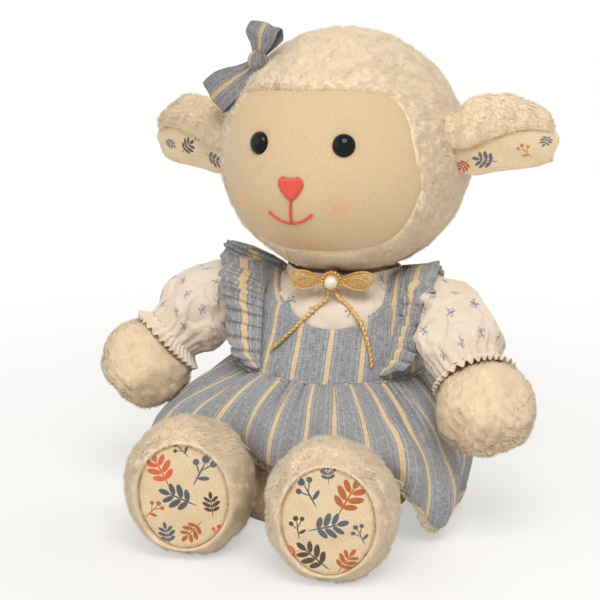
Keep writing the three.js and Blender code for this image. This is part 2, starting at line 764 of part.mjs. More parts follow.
// Arms and sleeves
function armCurve(side) {
  const forward = side === 'left' ? leftPawForward : rightPawForward;
  const reach = side === 'left' ? leftArmReach : rightArmReach;
  const start = shoulderPoint(side).add(vec(sideOf[side] * gap, 0, 0));
  const points = armPathShares.map(([out, ahead, down]) => start.clone().add(
    vec(sideOf[side] * out * (reach - shoulderPlane), -ahead * forward, -down * armDrop)));
  const end = points[points.length - 1].clone().sub(points[points.length - 2]).setLength(pawLength);
  points.push(points[points.length - 1].clone().add(end));
  return new THREE.CatmullRomCurve3(points, false, 'centripetal');
}

const armHalf = (at) => pawRadius * sampleShares(armShares, at, 1);
const armSideBlock = (side, plane) => {
  const edge = shoulderPoint(side).x + sideOf[side] * plane;
  const far = edge - sideOf[side] * 2 * shoulderPlane;
  const [low, high] = [Math.min(edge, far), Math.max(edge, far)];
  return box(vec(low, -skirtHalfWidth, 0), vec(high, skirtHalfWidth, 2 * neckHeight));
};

function armForm(side, grow) {
  return paddedForm(armCurve(side), armShares, pawRadius, pawRadius * pawFlatShare, grow);
}

function armTube(side, table, radiusAt, thickness) {
  const curve = armCurve(side);
  const sheets = [[], []];
  for (let s = 0; s < limbSides; s += 1) {
    const angle = (2 * Math.PI * s) / limbSides;
    const columns = [[], []];
    for (const at of table) {
      const along = curve.getTangentAt(at);
      const right = vec(0, 0, 0).crossVectors(along, vec(0, 0, 1)).normalize();
      const up = vec(0, 0, 0).crossVectors(right, along);
      const spoke = right.multiplyScalar(Math.cos(angle)).addScaledVector(up, Math.sin(angle));
      columns[0].push(curve.getPointAt(at).addScaledVector(spoke, radiusAt(at)));
      columns[1].push(curve.getPointAt(at).addScaledVector(spoke, radiusAt(at) - thickness));
    }
    sheets[0].push(columns[0]);
    sheets[1].push(columns[1]);
  }
  return solid(slabGeometry(sheets[0], sheets[1], true));
}

function addArm(group, side) {
  const block = armSideBlock(side, gap);
  const inner = cut(armForm(side, -plushThickness), armSideBlock(side, plushThickness));
  const start = shoulderPoint(side);
  const through = start.clone().add(vec(sideOf[side] * 2 * plushThickness, 0, 0));
  const opening = bar(start, through, legOpeningRadius);
  addPart(group, `${side}_arm_cover`, mainBody(cut(armForm(side, 0), inner, opening, block)), plush);
  const core = cut(armForm(side, -plushThickness - gap), armSideBlock(side, plushThickness + gap));
  addPart(group, `${side}_arm_stuffing`, core, fibre);
  const sleeveAt = (at) => sleeveRadius * sampleShares(sleeveShares, at, 1);
  const sleeve = armTube(side, sleeveShares.map((row) => row[0]), sleeveAt, cottonThickness);
  addPart(group, `${side}_sleeve`, mainBody(cut(sleeve, armForm(side, gap), block)), blouseCotton);
  const cuffAt = (at) => armHalf(at) + gap + cottonThickness
    + cuffFlare * ((at - cuffShares[0]) / (cuffShares[2] - cuffShares[0]));
  const cuff = armTube(side, cuffShares, cuffAt, cottonThickness);
  addPart(group, `${side}_sleeve_cuff`, mainBody(cut(cuff, armForm(side, gap))), lace);
}

// Neck ball that joins the head to the torso
function addNeck(group) {
  const foot = neckPoint.clone().setZ(neckHeight - neckStemDepth);
  const stem = bar(foot, neckPoint, neckStemRadius);
  addPart(group, 'neck_stuffing', join(stem, ball(neckPoint, neckBallRadius, neckBallSides)), fibre);
}

// Head, in the neck ball's frame
// Half width share of the head at a rise from -1 at the chin to 1 at the crown.
const headShare = (rise) => Math.sqrt(Math.max(0, 1 - rise ** 2)) * (1 - cheekShare * rise);

function headForm(grow) {
  const rings = Array.from({ length: headRows - 1 }, (_, row) => {
    const rise = -Math.cos((Math.PI * (row + 1)) / headRows);
    const centre = headCentre.clone().add(vec(0, 0, rise * (headHalfHeight + grow)));
    const share = headShare(rise);
    const [halfWidth, halfDepth] = [(headHalfWidth + grow) * share, (headHalfDepth + grow) * share];
    return oval(centre, vec(1, 0, 0), vec(0, 1, 0), halfWidth, halfDepth, bodySides);
  });
  return solid(ringGeometry(rings));
}

function onHead(side, height, grow) {
  const share = headShare((height - headRise) / (headHalfHeight + grow));
  const across = side / ((headHalfWidth + grow) * share);
  return vec(side, -(headHalfDepth + grow) * share * Math.sqrt(Math.max(0, 1 - across ** 2)), height);
}

function facePrism(inset) {
  const half = faceShares.map(([x, z]) => [x * (faceHalfWidth - inset),
    headRise - faceDrop + z * (faceHalfHeight - inset)]);
  const mirrored = half.slice(1, -1).reverse().map(([x, z]) => [-x, z]);
  return frontPrism([...half.reverse(), ...mirrored.reverse()], -2 * headHalfDepth, -headHalfDepth / 4);
}

function eyeAxis(way) {
  const side = headHalfWidth * Math.sin(eyeSpread) * way;
  const surface = onHead(side, headRise + eyeHeight, -faceRecess);
  const normal = vec(surface.x / headHalfWidth ** 2, surface.y / headHalfDepth ** 2,
    (surface.z - headRise) / headHalfHeight ** 2).normalize();
  return [surface, normal];
}

function alongAxis(geometry, [surface, normal], depth) {
  geometry.applyQuaternion(new THREE.Quaternion().setFromUnitVectors(vec(0, 1, 0), normal));
  const place = surface.clone().addScaledVector(normal, depth);
  geometry.translate(place.x, place.y, place.z);
  return solid(geometry);
}

function eyeSolid(way) {
  const steps = 5;
  const profile = [new THREE.Vector2(0, -eyeShankLength), new THREE.Vector2(eyeShankRadius, -eyeShankLength)];
  profile.push(new THREE.Vector2(eyeShankRadius, gap));
  for (let i = 0; i < steps; i += 1) {
    const angle = (Math.PI / 2) * (i / steps);
    profile.push(new THREE.Vector2(eyeRadius * Math.cos(angle), gap + eyeDome * Math.sin(angle)));
  }
  profile.push(new THREE.Vector2(0, gap + eyeDome));
  return alongAxis(new THREE.LatheGeometry(profile, limbSides), eyeAxis(way), 0);
}

// The head's facets lie this far inside its true surface.
const headFacetDepth = 2 * headHalfWidth * (1 - Math.cos(Math.PI / (2 * headRows)));

function eyeWasher(way) {
  const inner = eyeShankRadius + gap;
  const half = eyeWasherThickness / 2;
  const outer = eyeWasherRadius;
  const corners = [[inner, -half], [outer, -half], [outer, half], [inner, half], [inner, -half]];
  const profile = corners.map(([x, y]) => new THREE.Vector2(x, y));
  const geometry = new THREE.LatheGeometry(profile, limbSides);
  return alongAxis(geometry, eyeAxis(way), faceRecess - plushThickness - gap - half - headFacetDepth);
}

const eyeBore = (way, radius, depth) => alongAxis(
  new THREE.CylinderGeometry(radius, radius, 2 * depth, limbSides), eyeAxis(way), 0);

function faceBand(thickness) {
  return cut(headForm(thickness - faceRecess + gap), headForm(gap - faceRecess));
}

function noseSolid() {
  const outline = noseShares.map(([x, z]) => [noseShift + x * noseHalfWidth, headRise + noseHeight + z * noseHalfHeight]);
  return faceBand(noseThickness).intersect(frontPrism(outline.reverse(), -2 * headHalfDepth, 0));
}

function mouthSolid() {
  const steps = 8;
  const smile = Array.from({ length: steps + 1 }, (_, i) => {
    const across = 2 * (i / steps) - 1;
    return [mouthShift + mouthHalfWidth * across, headRise + mouthHeight + mouthRise * across ** 2];
  });
  const upper = smile.map(([x, z]) => [x, z + threadWidth / 2]);
  const lower = smile.map(([x, z]) => [x, z - threadWidth / 2]);
  const threadTop = headRise + noseHeight - noseHalfHeight - gap;
  const half = threadWidth / 2;
  const middle = upper.splice(steps / 2, 1)[0];
  upper.splice(steps / 2, 0, [middle[0] - half, middle[1]], [noseShift - half, threadTop],
    [noseShift + half, threadTop], [middle[0] + half, middle[1]]);
  const outline = [...lower, ...upper.reverse()];
  return faceBand(threadThickness).intersect(frontPrism(outline, -2 * headHalfDepth, 0));
}

// Ears
const earRoot = (way) => vec(way * earRootOut, -earRootFront,
  headRise + (way > 0 ? leftEarHeight : rightEarHeight));

function earCurve(way) {
  const root = earRoot(way);
  const tip = root.clone().add(vec(way * earLength, earSweepBack, 0));
  const middle = root.clone().lerp(tip, 0.5).add(vec(0, 0, earArch));
  return new THREE.CatmullRomCurve3([root, middle, tip]);
}

function earForm(way, grow) {
  return paddedForm(earCurve(way), earShares, earHalfThickness, earHalfHeight, grow);
}

// The head as the ear meets it over the whole range of its fold.
function earStop(way) {
  const head = headForm(gap);
  const turns = Array.from({ length: earSwingSteps + 1 }, (_, i) => {
    const degrees = lerp(-earFoldForward, earFoldBack, i / earSwingSteps);
    const angle = THREE.MathUtils.degToRad(-way * degrees);
    return placed(head, turnAbout(earRoot(way), vec(0, 0, 1), angle));
  });
  return join(...turns);
}

function liningPocket(way, inset, depth) {
  const curve = earCurve(way);
  const rows = earShares.filter(([at]) => at > 0 && at < 0.9);
  const rings = rows.map(([at, , heightShare = 1], row) => {
    const centre = curve.getPointAt(at);
    const end = Number(row === 0) - Number(row === rows.length - 1);
    centre.x += end * way * (inset - liningInset);
    const drop = heightShare * earHalfHeight - inset;
    const front = centre.y - depth;
    return [vec(centre.x, front, centre.z - inset / 2), vec(centre.x, front, centre.z - drop),
      vec(centre.x, front - earHalfThickness, centre.z - drop),
      vec(centre.x, front - earHalfThickness, centre.z - inset / 2)];
  });
  return solid(ringGeometry(rings));
}

function addEar(group, side) {
  const way = sideOf[side];
  const stop = earStop(way);
  const shape = cut(earForm(way, 0), stop);
  addPart(group, `${side}_ear_cover`, mainBody(cut(shape, liningPocket(way, liningInset, liningDepth))), plush);
  const lining = shape.intersect(liningPocket(way, liningInset + gap, liningDepth + gap));
  addPart(group, `${side}_ear_lining`, mainBody(lining), blouseCotton);
}

// Hair bow
function addHairBow(group) {
  const knot = vec(-hairBowOut, -hairBowFront, headRise + hairBowHeight);
  const away = knot.clone().sub(headCentre).normalize();
  const seat = headForm(gap);
  const middle = knot.clone().addScaledVector(away, hairKnotRadius / 2);
  const makeLoop = (direction, length) => {
    const way = vec(...direction).normalize();
    const start = middle.clone().addScaledVector(way, hairKnotRadius + gap);
    const curve = new THREE.LineCurve3(start, start.clone().addScaledVector(way, length));
    const across = vec(0, 0, 0).crossVectors(vec(...hairLoopFacing), way).normalize();
    const thin = vec(0, 0, 0).crossVectors(way, across);
    const rings = hairLoopShares.map(([at, widthShare, thickShare]) => oval(curve.getPoint(at), across, thin,
      widthShare * hairLoopHalfWidth, thickShare * hairLoopHalfThickness, limbSides / 2));
    return solid(ringGeometry(rings));
  };
  const room = ball(middle, hairKnotRadius + gap);
  const upper = makeLoop(hairUpperWay, hairUpperLoopLength);
  const lower = makeLoop(hairLowerWay, hairLowerLoopLength);
  addPart(group, 'hair_bow_knot', mainBody(cut(ball(middle, hairKnotRadius), seat)), stripedCotton);
  addPart(group, 'hair_bow_upper_loop', mainBody(cut(upper, seat, room)), stripedCotton);
  addPart(group, 'hair_bow_lower_loop', mainBody(cut(lower, seat, room)), stripedCotton);
}

function addHead(group) {
  const inner = headForm(-plushThickness);
  const socket = ball(vec(0, 0, 0), socketRadius(neckBallRadius, neckBallSides), neckBallSides);
  const stemRoom = bar(vec(0, 0, -headRise), vec(0, 0, 0), neckStemRadius + cottonThickness * 2);
  const cover = cut(headForm(0), inner, facePrism(0), socket, stemRoom);
  addPart(group, 'head_cover', mainBody(cover), plush);
  const bores = [-1, 1].map((way) => eyeBore(way, eyeShankRadius + gap, 2 * eyeShankLength));
  const face = cut(headForm(-faceRecess), inner).intersect(facePrism(gap));
  addPart(group, 'face_panel', mainBody(cut(face, ...bores)), smoothPlush);
  const pockets = [-1, 1].map((way) => eyeBore(way, eyeWasherRadius + gap, eyeShankLength + gap));
  const core = cut(headForm(-plushThickness - gap), socket, stemRoom, ...pockets);
  addPart(group, 'head_stuffing', mainBody(core), fibre);
  for (const side of ['left', 'right']) {
    addPart(group, `${side}_eye`, eyeSolid(sideOf[side]), blackPlastic);
    addPart(group, `${side}_eye_washer`, eyeWasher(sideOf[side]), whitePlastic);
    addEar(group, side);
  }
  addPart(group, 'nose_embroidery', mainBody(noseSolid()), coralThread);
  addPart(group, 'mouth_embroidery', mainBody(mouthSolid()), coralThread);
  addHairBow(group);
}

// Gold bow at the neck
function addNeckBow(group) {
  const centre = dressSurface(neckHeight - neckKnotRadius, 0, -1, dressOut).applyMatrix4(dressFrame);
  centre.z = neckBowHeight;
  const facing = vec(Math.sin(dressTurn), -Math.cos(dressTurn), 0);
  const across = vec(Math.cos(dressTurn), Math.sin(dressTurn), 0);
  const knotBack = centre.clone().addScaledVector(facing, gap);
  const knotFront = knotBack.clone().addScaledVector(facing, neckKnotThickness);
  const knotRoot = knotBack.clone().addScaledVector(facing, -knotSeatDepth);
  const seats = [collarBlock(gap), torsoForm(blouseOut + gap), ...headRooms()];
  const knot = cut(bar(knotRoot, knotFront, neckKnotRadius), ...seats);
  addPart(group, 'neck_bow_knot', knot, goldCord);
  addPart(group, 'neck_pearl', ball(knotFront.clone().addScaledVector(facing, gap + pearlRadius), pearlRadius), pearl);
  for (const side of ['left', 'right']) {
    const way = across.clone().multiplyScalar(sideOf[side]);
    const start = knotBack.clone().addScaledVector(facing, neckKnotThickness / 2)
      .addScaledVector(way, neckKnotRadius + gap);
    const rings = neckLoopShares.map(([at, widthShare, thickShare]) => {
      const middle = start.clone().addScaledVector(way, at * neckLoopLength);
      return oval(middle, vec(0, 0, 1), facing, widthShare * neckLoopHalfWidth,
        thickShare * neckLoopHalfThickness, limbSides / 2);
    });
    addPart(group, `neck_bow_${side}_loop`, solid(ringGeometry(rings)), goldCord);
  }
}

function addTail(group, name, route) {
  const curve = new THREE.CatmullRomCurve3(route.map(([x, y, drop]) => vec(x, y, neckHeight - drop)));
  const section = new THREE.Shape(Array.from({ length: tailSides }, (_, i) => {
    const angle = (2 * Math.PI * i) / tailSides;
    return new THREE.Vector2(tailRadius * Math.cos(angle), tailRadius * Math.sin(angle));
  }));
  const steps = Math.ceil(curve.getLength() / tailStep);
  const geometry = new THREE.ExtrudeGeometry(section, { steps, bevelEnabled: false, extrudePath: curve });
  addPart(group, name, solid(geometry), goldCord);
}

const group = new THREE.Group();
addTorso(group);
addBlouse(group);
addBodice(group);
for (const side of ['left', 'right']) {
  addRuffle(group, side);
  addArm(group, side);
  addLeg(group, side);
}
addSkirt(group);
addNeck(group);
addNeckBow(group);
addTail(group, 'neck_bow_right_tail', rightTailRoute);
addTail(group, 'neck_bow_left_tail', leftTailRoute);
const head = new THREE.Group();
head.position.copy(neckPoint);
head.rotation.copy(headAngles);
addHead(head);
group.add(head);

export default group;
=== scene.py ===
# A seated plush sheep in a striped pinafore: fur, sewn cloth, print, lace and bows over the fixed frame.
# Sizes are millimetres until a mesh is made, and the same as the solids they replace.
import json
import math

import bpy
import numpy as np
from mathutils import Matrix, Vector

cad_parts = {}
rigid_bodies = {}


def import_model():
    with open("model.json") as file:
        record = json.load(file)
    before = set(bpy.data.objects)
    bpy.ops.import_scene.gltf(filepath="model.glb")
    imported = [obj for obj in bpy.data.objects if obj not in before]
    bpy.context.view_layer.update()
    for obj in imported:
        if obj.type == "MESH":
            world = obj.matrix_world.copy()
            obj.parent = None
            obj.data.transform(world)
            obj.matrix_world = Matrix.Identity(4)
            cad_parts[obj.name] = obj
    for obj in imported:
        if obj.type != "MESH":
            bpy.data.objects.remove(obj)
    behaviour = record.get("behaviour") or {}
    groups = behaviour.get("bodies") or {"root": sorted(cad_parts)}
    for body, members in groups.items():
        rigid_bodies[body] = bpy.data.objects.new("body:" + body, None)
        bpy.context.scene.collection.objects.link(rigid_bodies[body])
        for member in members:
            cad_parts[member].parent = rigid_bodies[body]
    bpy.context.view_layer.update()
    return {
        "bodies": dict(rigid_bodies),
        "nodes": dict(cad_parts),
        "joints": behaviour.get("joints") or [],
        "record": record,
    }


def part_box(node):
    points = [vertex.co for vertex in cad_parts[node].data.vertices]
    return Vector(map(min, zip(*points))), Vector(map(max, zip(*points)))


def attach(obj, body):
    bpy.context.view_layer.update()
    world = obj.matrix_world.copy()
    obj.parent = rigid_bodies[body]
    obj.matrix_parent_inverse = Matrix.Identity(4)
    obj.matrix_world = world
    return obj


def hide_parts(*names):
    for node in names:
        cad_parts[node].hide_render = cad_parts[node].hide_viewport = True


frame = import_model()

# Shared sizes of the frame
neckHeight = 154.0
waistHeight = 96.0
bodiceTop = 144.0
neckBallHeight = 177.0
shoulderHeight, shoulderSide = 134.0, 52.35
collarRadius, pawRadius, stripePitch = 36.4, 31.0, 21.0
torsoHalfWidth, torsoHalfDepth = 68.0, 61.0
leanSide, leanBack, leanPower = 12.0, 22.0, 1.2
torsoShares = [
    [0, 0.84, 0.84], [0.06, 0.94, 0.95], [0.18, 1, 1], [0.4, 0.96, 0.93],
    [0.62, 0.87, 0.82], [0.82, 0.81, 0.76], [0.94, 0.73, 0.7], [1, 0.53, 0.56],
]
blouseOut, dressOut = 1.95, 3.9
headRise = 58.0
headHalf = np.array([80.0, 79.0, 78.0])
headTurn, headRoll = math.radians(-3.5), math.radians(-2.5)
cheekShare = 0.06
sides = {"left": 1, "right": -1}
dressTurn = math.radians(13)
metre = 0.001
upward = np.array([0.0, 0.0, 1.0])


# Reads a table of shares smoothly between its rows.
def share(table, at, column):
    t = np.array([row[0] for row in table], float)
    v = np.array([row[column] for row in table], float)
    slope = np.gradient(v, t)
    at = np.clip(np.asarray(at, float), t[0], t[-1])
    i = np.clip(np.searchsorted(t, at, side="right") - 1, 0, len(t) - 2)
    h = t[i + 1] - t[i]
    s = (at - t[i]) / h
    start = (2 * s**3 - 3 * s**2 + 1) * v[i] + (s**3 - 2 * s**2 + s) * h * slope[i]
    return start + (3 * s**2 - 2 * s**3) * v[i + 1] + (s**3 - s**2) * h * slope[i + 1]


# Points of a centripetal curve through the given points.
def curveThrough(points, closed, t):
    p = np.array(points, float)
    spans = len(p) if closed else len(p) - 1
    ends = (p[-1], p[0], p[1]) if closed else (2 * p[0] - p[1], 2 * p[-1] - p[-2])
    p = np.vstack([ends[0], p, *ends[1:]])
    at = np.clip(np.asarray(t, float) % 1 if closed else t, 0, 1 - 1e-9) * spans
    i = at.astype(int)
    w = (at - i)[:, None]
    p0, p1, p2, p3 = p[i], p[i + 1], p[i + 2], p[i + 3]
    knot = lambda a, b: np.maximum(np.sum((a - b) ** 2, 1) ** 0.25, 1e-4)[:, None]
    d0, d1, d2 = knot(p0, p1), knot(p1, p2), knot(p2, p3)
    t1 = ((p1 - p0) / d0 - (p2 - p0) / (d0 + d1) + (p2 - p1) / d1) * d1
    t2 = ((p2 - p1) / d1 - (p3 - p1) / (d1 + d2) + (p3 - p2) / d2) * d1
    return p1 + t1 * w + (3 * p2 - 3 * p1 - 2 * t1 - t2) * w**2 + (2 * p1 - 2 * p2 + t1 + t2) * w**3


# Length along a line of points, from its first one.
def arcLength(points):
    return np.concatenate([[0], np.cumsum(np.linalg.norm(np.diff(points, axis=0), axis=1))])


# Evenly spaced angles of a whole turn, without its end.
def turns(count):
    return np.linspace(0, 2 * np.pi, count, endpoint=False)


# Places and directions at even shares of a curve's length.
def evenly(points, at):
    dense = curveThrough(points, False, np.linspace(0, 1, 600))
    run = arcLength(dense)
    run /= run[-1]
    read = lambda s: np.stack([np.interp(s, run, dense[:, k]) for k in range(3)], 1)
    at = np.asarray(at, float)
    ahead = read(np.clip(at + 0.004, 0, 1)) - read(np.clip(at - 0.004, 0, 1))
    return read(at), unit(ahead)


def unit(v):
    return v / np.maximum(np.linalg.norm(v, axis=-1, keepdims=True), 1e-9)


def smooth(low, high, v):
    t = np.clip((v - low) / (high - low), 0, 1)
    return t * t * (3 - 2 * t)


# A soft random field: waves in seeded directions, about one unit high.
def ripple(p, size, seed, waves=20):
    rng = np.random.default_rng(seed)
    ways = unit(rng.normal(size=(waves, 3))) * (2 * np.pi / (size * rng.uniform(0.7, 1.6, (waves, 1))))
    phase = rng.uniform(0, 2 * np.pi, waves)
    total = np.zeros(p.shape[:-1])
    for way, start in zip(ways, phase):
        total += np.sin(p @ way + start)
    return total / math.sqrt(waves / 2)


def spine(height):
    rise = (np.clip(height, 0, neckBallHeight) / neckHeight) ** leanPower
    return np.stack([leanSide * rise, leanBack * rise, np.asarray(height, float) + 0 * rise], -1)


def torsoHalves(height):
    at = np.clip(height, 0, neckHeight) / neckHeight
    return torsoHalfWidth * share(torsoShares, at, 1), torsoHalfDepth * share(torsoShares, at, 2)


neckPoint = spine(np.array(neckBallHeight))
headMatrix = np.array(
    Matrix.Translation(Vector(neckPoint))
    @ Matrix.Rotation(headTurn, 4, "Z") @ Matrix.Rotation(headRoll, 4, "Y")
)
waistPoint = Vector(spine(np.array(waistHeight)))
dressMatrix = np.array(
    Matrix.Translation(waistPoint) @ Matrix.Rotation(dressTurn, 4, "Z") @ Matrix.Translation(-waistPoint)
)


def moved(p, matrix):
    return p @ matrix[:3, :3].T + matrix[:3, 3]


headInverse, dressInverse = np.linalg.inv(headMatrix), np.linalg.inv(dressMatrix)
dressCentre = float(spine(np.array(bodiceTop))[0])


# Node materials
class Net:
    def __init__(self, name, tree=None):
        self.material = None if tree else bpy.data.materials.new(name)
        if not tree:
            self.material.use_nodes = True
            tree = self.material.node_tree
            tree.nodes.clear()
        self.tree = tree

    def node(self, kind, values=None, **settings):
        made = self.tree.nodes.new(kind if kind.startswith("Node") else "ShaderNode" + kind)
        for key, value in settings.items():
            setattr(made, key, value)
        for key, value in (values or {}).items():
            if isinstance(value, bpy.types.NodeSocket):
                self.tree.links.new(value, made.inputs[key])
            else:
                made.inputs[key].default_value = value
        return made

    def math(self, operation, a, b=0.0, c=0.0):
        return self.node("Math", {0: a, 1: b, 2: c}, operation=operation).outputs[0]

    def times(self, a, b):
        return self.math("MULTIPLY", a, b)

    def apart(self, a, b):
        return self.math("ABSOLUTE", self.math("SUBTRACT", a, b))

    def fade(self, value, low, high):
        ranges = {"Value": value, "From Min": low, "From Max": high}
        return self.node("MapRange", ranges, interpolation_type="SMOOTHSTEP").outputs[0]

    def mix(self, factor, a, b, blend="MIX"):
        return self.node("Mix", {0: factor, 6: a, 7: b}, data_type="RGBA", blend_type=blend).outputs[2]

    def noise(self, place, scale, detail=3.0, rough=0.55):
        values = {"Vector": place, "Scale": scale, "Detail": detail, "Roughness": rough}
        return self.node("TexNoise", values).outputs[0]

    # Broad patches of a second colour.
    def patched(self, colour, place, scale, low, high, most, code):
        broad = self.noise(place, scale, 2.0)
        return self.mix(self.times(self.fade(broad, low, high), most), colour, rgb(code))

    def scaled(self, vector, amount):
        return self.node("VectorMath", {0: vector, "Scale": amount}, operation="SCALE").outputs[0]

    def place(self):
        return self.scaled(self.node("TexCoord").outputs["Object"], 1000.0)

    def cloth(self):
        return self.node("Attribute", attribute_name="cloth").outputs["Vector"]

    def mapped(self, vector, at, turn, size):
        values = {"Vector": vector, "Location": (*at, 0), "Rotation": (0, 0, turn), "Scale": (*size, 1)}
        return self.node("Mapping", values, vector_type="TEXTURE").outputs[0]

    def finish(self, colour, height=None, strength=0.4, distance=0.4, **constants):
        values = {"Base Color": colour}
        values.update({key.replace("_", " "): value for key, value in constants.items()})
        if height is not None:
            bump = {"Height": height, "Strength": strength, "Distance": distance * metre}
            values["Normal"] = self.node("Bump", bump).outputs[0]
        shader = self.node("BsdfPrincipled", values)
        self.node("OutputMaterial", {"Surface": shader.outputs[0]})
        return self.material


def rgb(code):
    parts = [int(code[i:i + 2], 16) / 255 for i in (0, 2, 4)]
    return (*[p / 12.92 if p < 0.04045 else ((p + 0.055) / 1.055) ** 2.4 for p in parts], 1.0)


# Plush ground under the strands: clumps, with painted shade darker between them.
def plushMaterial(name, light, dark, clump, depth):
    net = Net(name)
    place = net.place()
    tufts = net.noise(place, 1 / clump, 4.0, 0.6)
    # Painted shade: the hollows between clumps take the dark colour.
    colour = net.mix(net.fade(tufts, 0.3, 0.68), rgb(dark), rgb(light))
    colour = net.patched(colour, place, 0.03, 0.35, 0.75, 0.35, dark)
    return net.finish(colour, tufts, 0.7, depth, Roughness=0.95, Sheen_Weight=0.35, Sheen_Roughness=0.5,
                      Specular_IOR_Level=0.15)


def furTone(name, code):
    net = Net(name)
    return net.finish(rgb(code), Roughness=0.9, Sheen_Weight=0.25, Specular_IOR_Level=0.1)


# Smooth face plush with two blushes and a patch of painted shade under the chin, each a place in millimetres,
# a reach and a colour.
def faceMaterial(blushesAndPaintedShade):
    net = Net("facePlushMaterial")
    place = net.place()
    nap = net.noise(place, 0.9, 4.0, 0.6)
    colour = net.mix(net.fade(nap, 0.25, 0.75), rgb("D0B48D"), rgb("DEC6A2"))
    colour = net.patched(colour, place, 0.035, 0.4, 0.7, 0.35, "DDBF92")
    for at, reach, code, most in blushesAndPaintedShade:
        away = net.node("VectorMath", {0: place, 1: at}, operation="DISTANCE").outputs["Value"]
        amount = net.times(net.fade(away, reach, reach * 0.15), most)
        colour = net.mix(amount, colour, rgb(code))
    return net.finish(colour, nap, 0.35, 0.35, Roughness=0.85, Sheen_Weight=0.3, Specular_IOR_Level=0.15)


# An empty group of nodes that reads a place and gives the named outputs.
def newGroup(name, **outputs):
    tree = bpy.data.node_groups.new(name, "ShaderNodeTree")
    tree.interface.new_socket("Place", in_out="INPUT", socket_type="NodeSocketVector")
    for output, kind in outputs.items():
        tree.interface.new_socket(output, in_out="OUTPUT", socket_type=f"NodeSocket{kind}")
    net = Net("", tree)
    return net, net.node("NodeGroupInput").outputs[0]


# Yarn-dyed stripes in the cloth's own millimetres: cream bars between dotted hairlines.
def stripeGroup():
    net, place = newGroup("stripedCloth", Color="Color", Height="Float")
    parts = net.node("SeparateXYZ", {0: place})
    u, v = parts.outputs[0], parts.outputs[1]
    slub = net.noise(net.mapped(place, (0, 0), 0, (0.5, 5)), 1.0, 3.0)
    cross = net.noise(net.mapped(place, (0, 0), 0, (5, 0.5)), 1.0, 3.0)
    heather = net.fade(net.math("ADD", slub, cross), 0.75, 1.3)
    colour = net.mix(heather, rgb("7F8187"), rgb("B8B9BB"))
    colour = net.patched(colour, place, 0.02, 0.35, 0.75, 0.25, "82868D")
    away = net.apart(net.math("FLOORED_MODULO", u, stripePitch), stripePitch / 2)
    dots = net.fade(net.math("SINE", net.times(v, 4.2)), -0.6, 0.2)
    for at, half, strength in ((3.0, 0.35, 0.75), (6.6, 0.4, 0.45)):
        line = net.fade(net.apart(away, at), half + 0.15, half - 0.15)
        amount = net.times(net.times(line, dots), strength)
        colour = net.mix(amount, colour, rgb("D9D2C4"))
    bar = net.fade(away, 1.75, 1.35)
    cream = net.mix(heather, rgb("D8BC90"), rgb("EDD8B4"))
    colour = net.mix(bar, colour, cream)
    warp = net.math("SINE", net.times(u, 9.0))
    weft = net.math("SINE", net.times(v, 9.0))
    weave = net.math("ADD", net.times(net.times(warp, weft), 0.35), heather)
    net.node("NodeGroupOutput", {0: colour, 1: net.math("ADD", weave, net.times(bar, 0.6))})
    return net.tree


# Striped cotton multiplied by a colour of painted shade; white paints none.
def stripeMaterial(name, group, paintedShade):
    net = Net(name)
    striped = net.node("Group", {0: net.cloth()}, node_tree=group).outputs
    colour = net.mix(1.0, striped[0], rgb(paintedShade), "MULTIPLY")
    return net.finish(colour, striped[1], 0.35, 0.22, Roughness=0.88, Sheen_Weight=0.12,
                      Specular_IOR_Level=0.2)


# A sprig in its own unit square: a stalk and leaves drawn as outlines or filled.
def sprigGroup(name, leaves, outline):
    net, place = newGroup(name, Mask="Float")
    total = None
    for x, y, turn, long, wide, filled in leaves:
        inner = net.mapped(place, (x, y), turn, (long, wide))
        away = net.node("VectorMath", {0: inner}, operation="LENGTH").outputs["Value"]
        if outline and not filled:
            away = net.math("ADD", net.apart(away, 0.8), 0.72)
        mask = net.fade(away, 1.08, 0.88)
        total = mask if total is None else net.math("MAXIMUM", total, mask)
    net.node("NodeGroupOutput", {0: total})
    return net.tree


# Fine white cotton with a small sprig scattered over it.
def blouseMaterial(group):
    net = Net("printedCottonMaterial")
    place = net.cloth()
    values = {"Vector": place, "Scale": 1 / 17.0, "Randomness": 0.4}
    cell = net.node("TexVoronoi", values, voronoi_dimensions="2D")
    offset = net.node("VectorMath", {0: place, 1: cell.outputs["Position"]}, operation="SUBTRACT")
    angle = net.times(net.node("SeparateColor", {0: cell.outputs["Color"]}).outputs[0], 6.28)
    rotated = net.node("VectorRotate", {"Vector": offset.outputs[0], "Angle": angle}, rotation_type="Z_AXIS")
    sprigs = net.node("Group", {0: net.scaled(rotated.outputs[0], 1 / 4.2)}, node_tree=group)
    weave = net.noise(net.scaled(place, 1.6), 1.0, 2.0)
    colour = net.mix(net.fade(weave, 0.3, 0.7), rgb("E2D1BC"), rgb("EFE2D2"))
    colour = net.patched(colour, place, 0.025, 0.4, 0.7, 0.3, "DFCBB0")
    colour = net.mix(net.times(sprigs.outputs[0], 0.85), colour, rgb("66788F"))
    return net.finish(colour, weave, 0.25, 0.15, Roughness=0.85, Sheen_Weight=0.1, Specular_IOR_Level=0.2)


# Cream sole or ear cotton with larger filled sprigs at chosen places.
def leafPrintMaterial(name, layout):
    net = Net(name)
    place = net.cloth()
    weave = net.noise(net.scaled(place, 0.8), 1.0, 3.0)
    colour = net.mix(net.fade(weave, 0.3, 0.7), rgb("DCC39E"), rgb("E9D5B5"))
    colour = net.patched(colour, place, 0.04, 0.4, 0.7, 0.35, "DBC094")
    for at, turn, size, code, berries in layout:
        values = {0: net.mapped(place, at, turn, (size, size))}
        sprig = net.node("Group", values, node_tree=berrySprig if berries else leafSprig)
        worn = net.times(sprig.outputs[0], net.fade(weave, 0.2, 0.42))
        colour = net.mix(net.times(worn, 0.92), colour, rgb(code))
    return net.finish(colour, weave, 0.3, 0.2, Roughness=0.85, Sheen_Weight=0.2, Specular_IOR_Level=0.2)


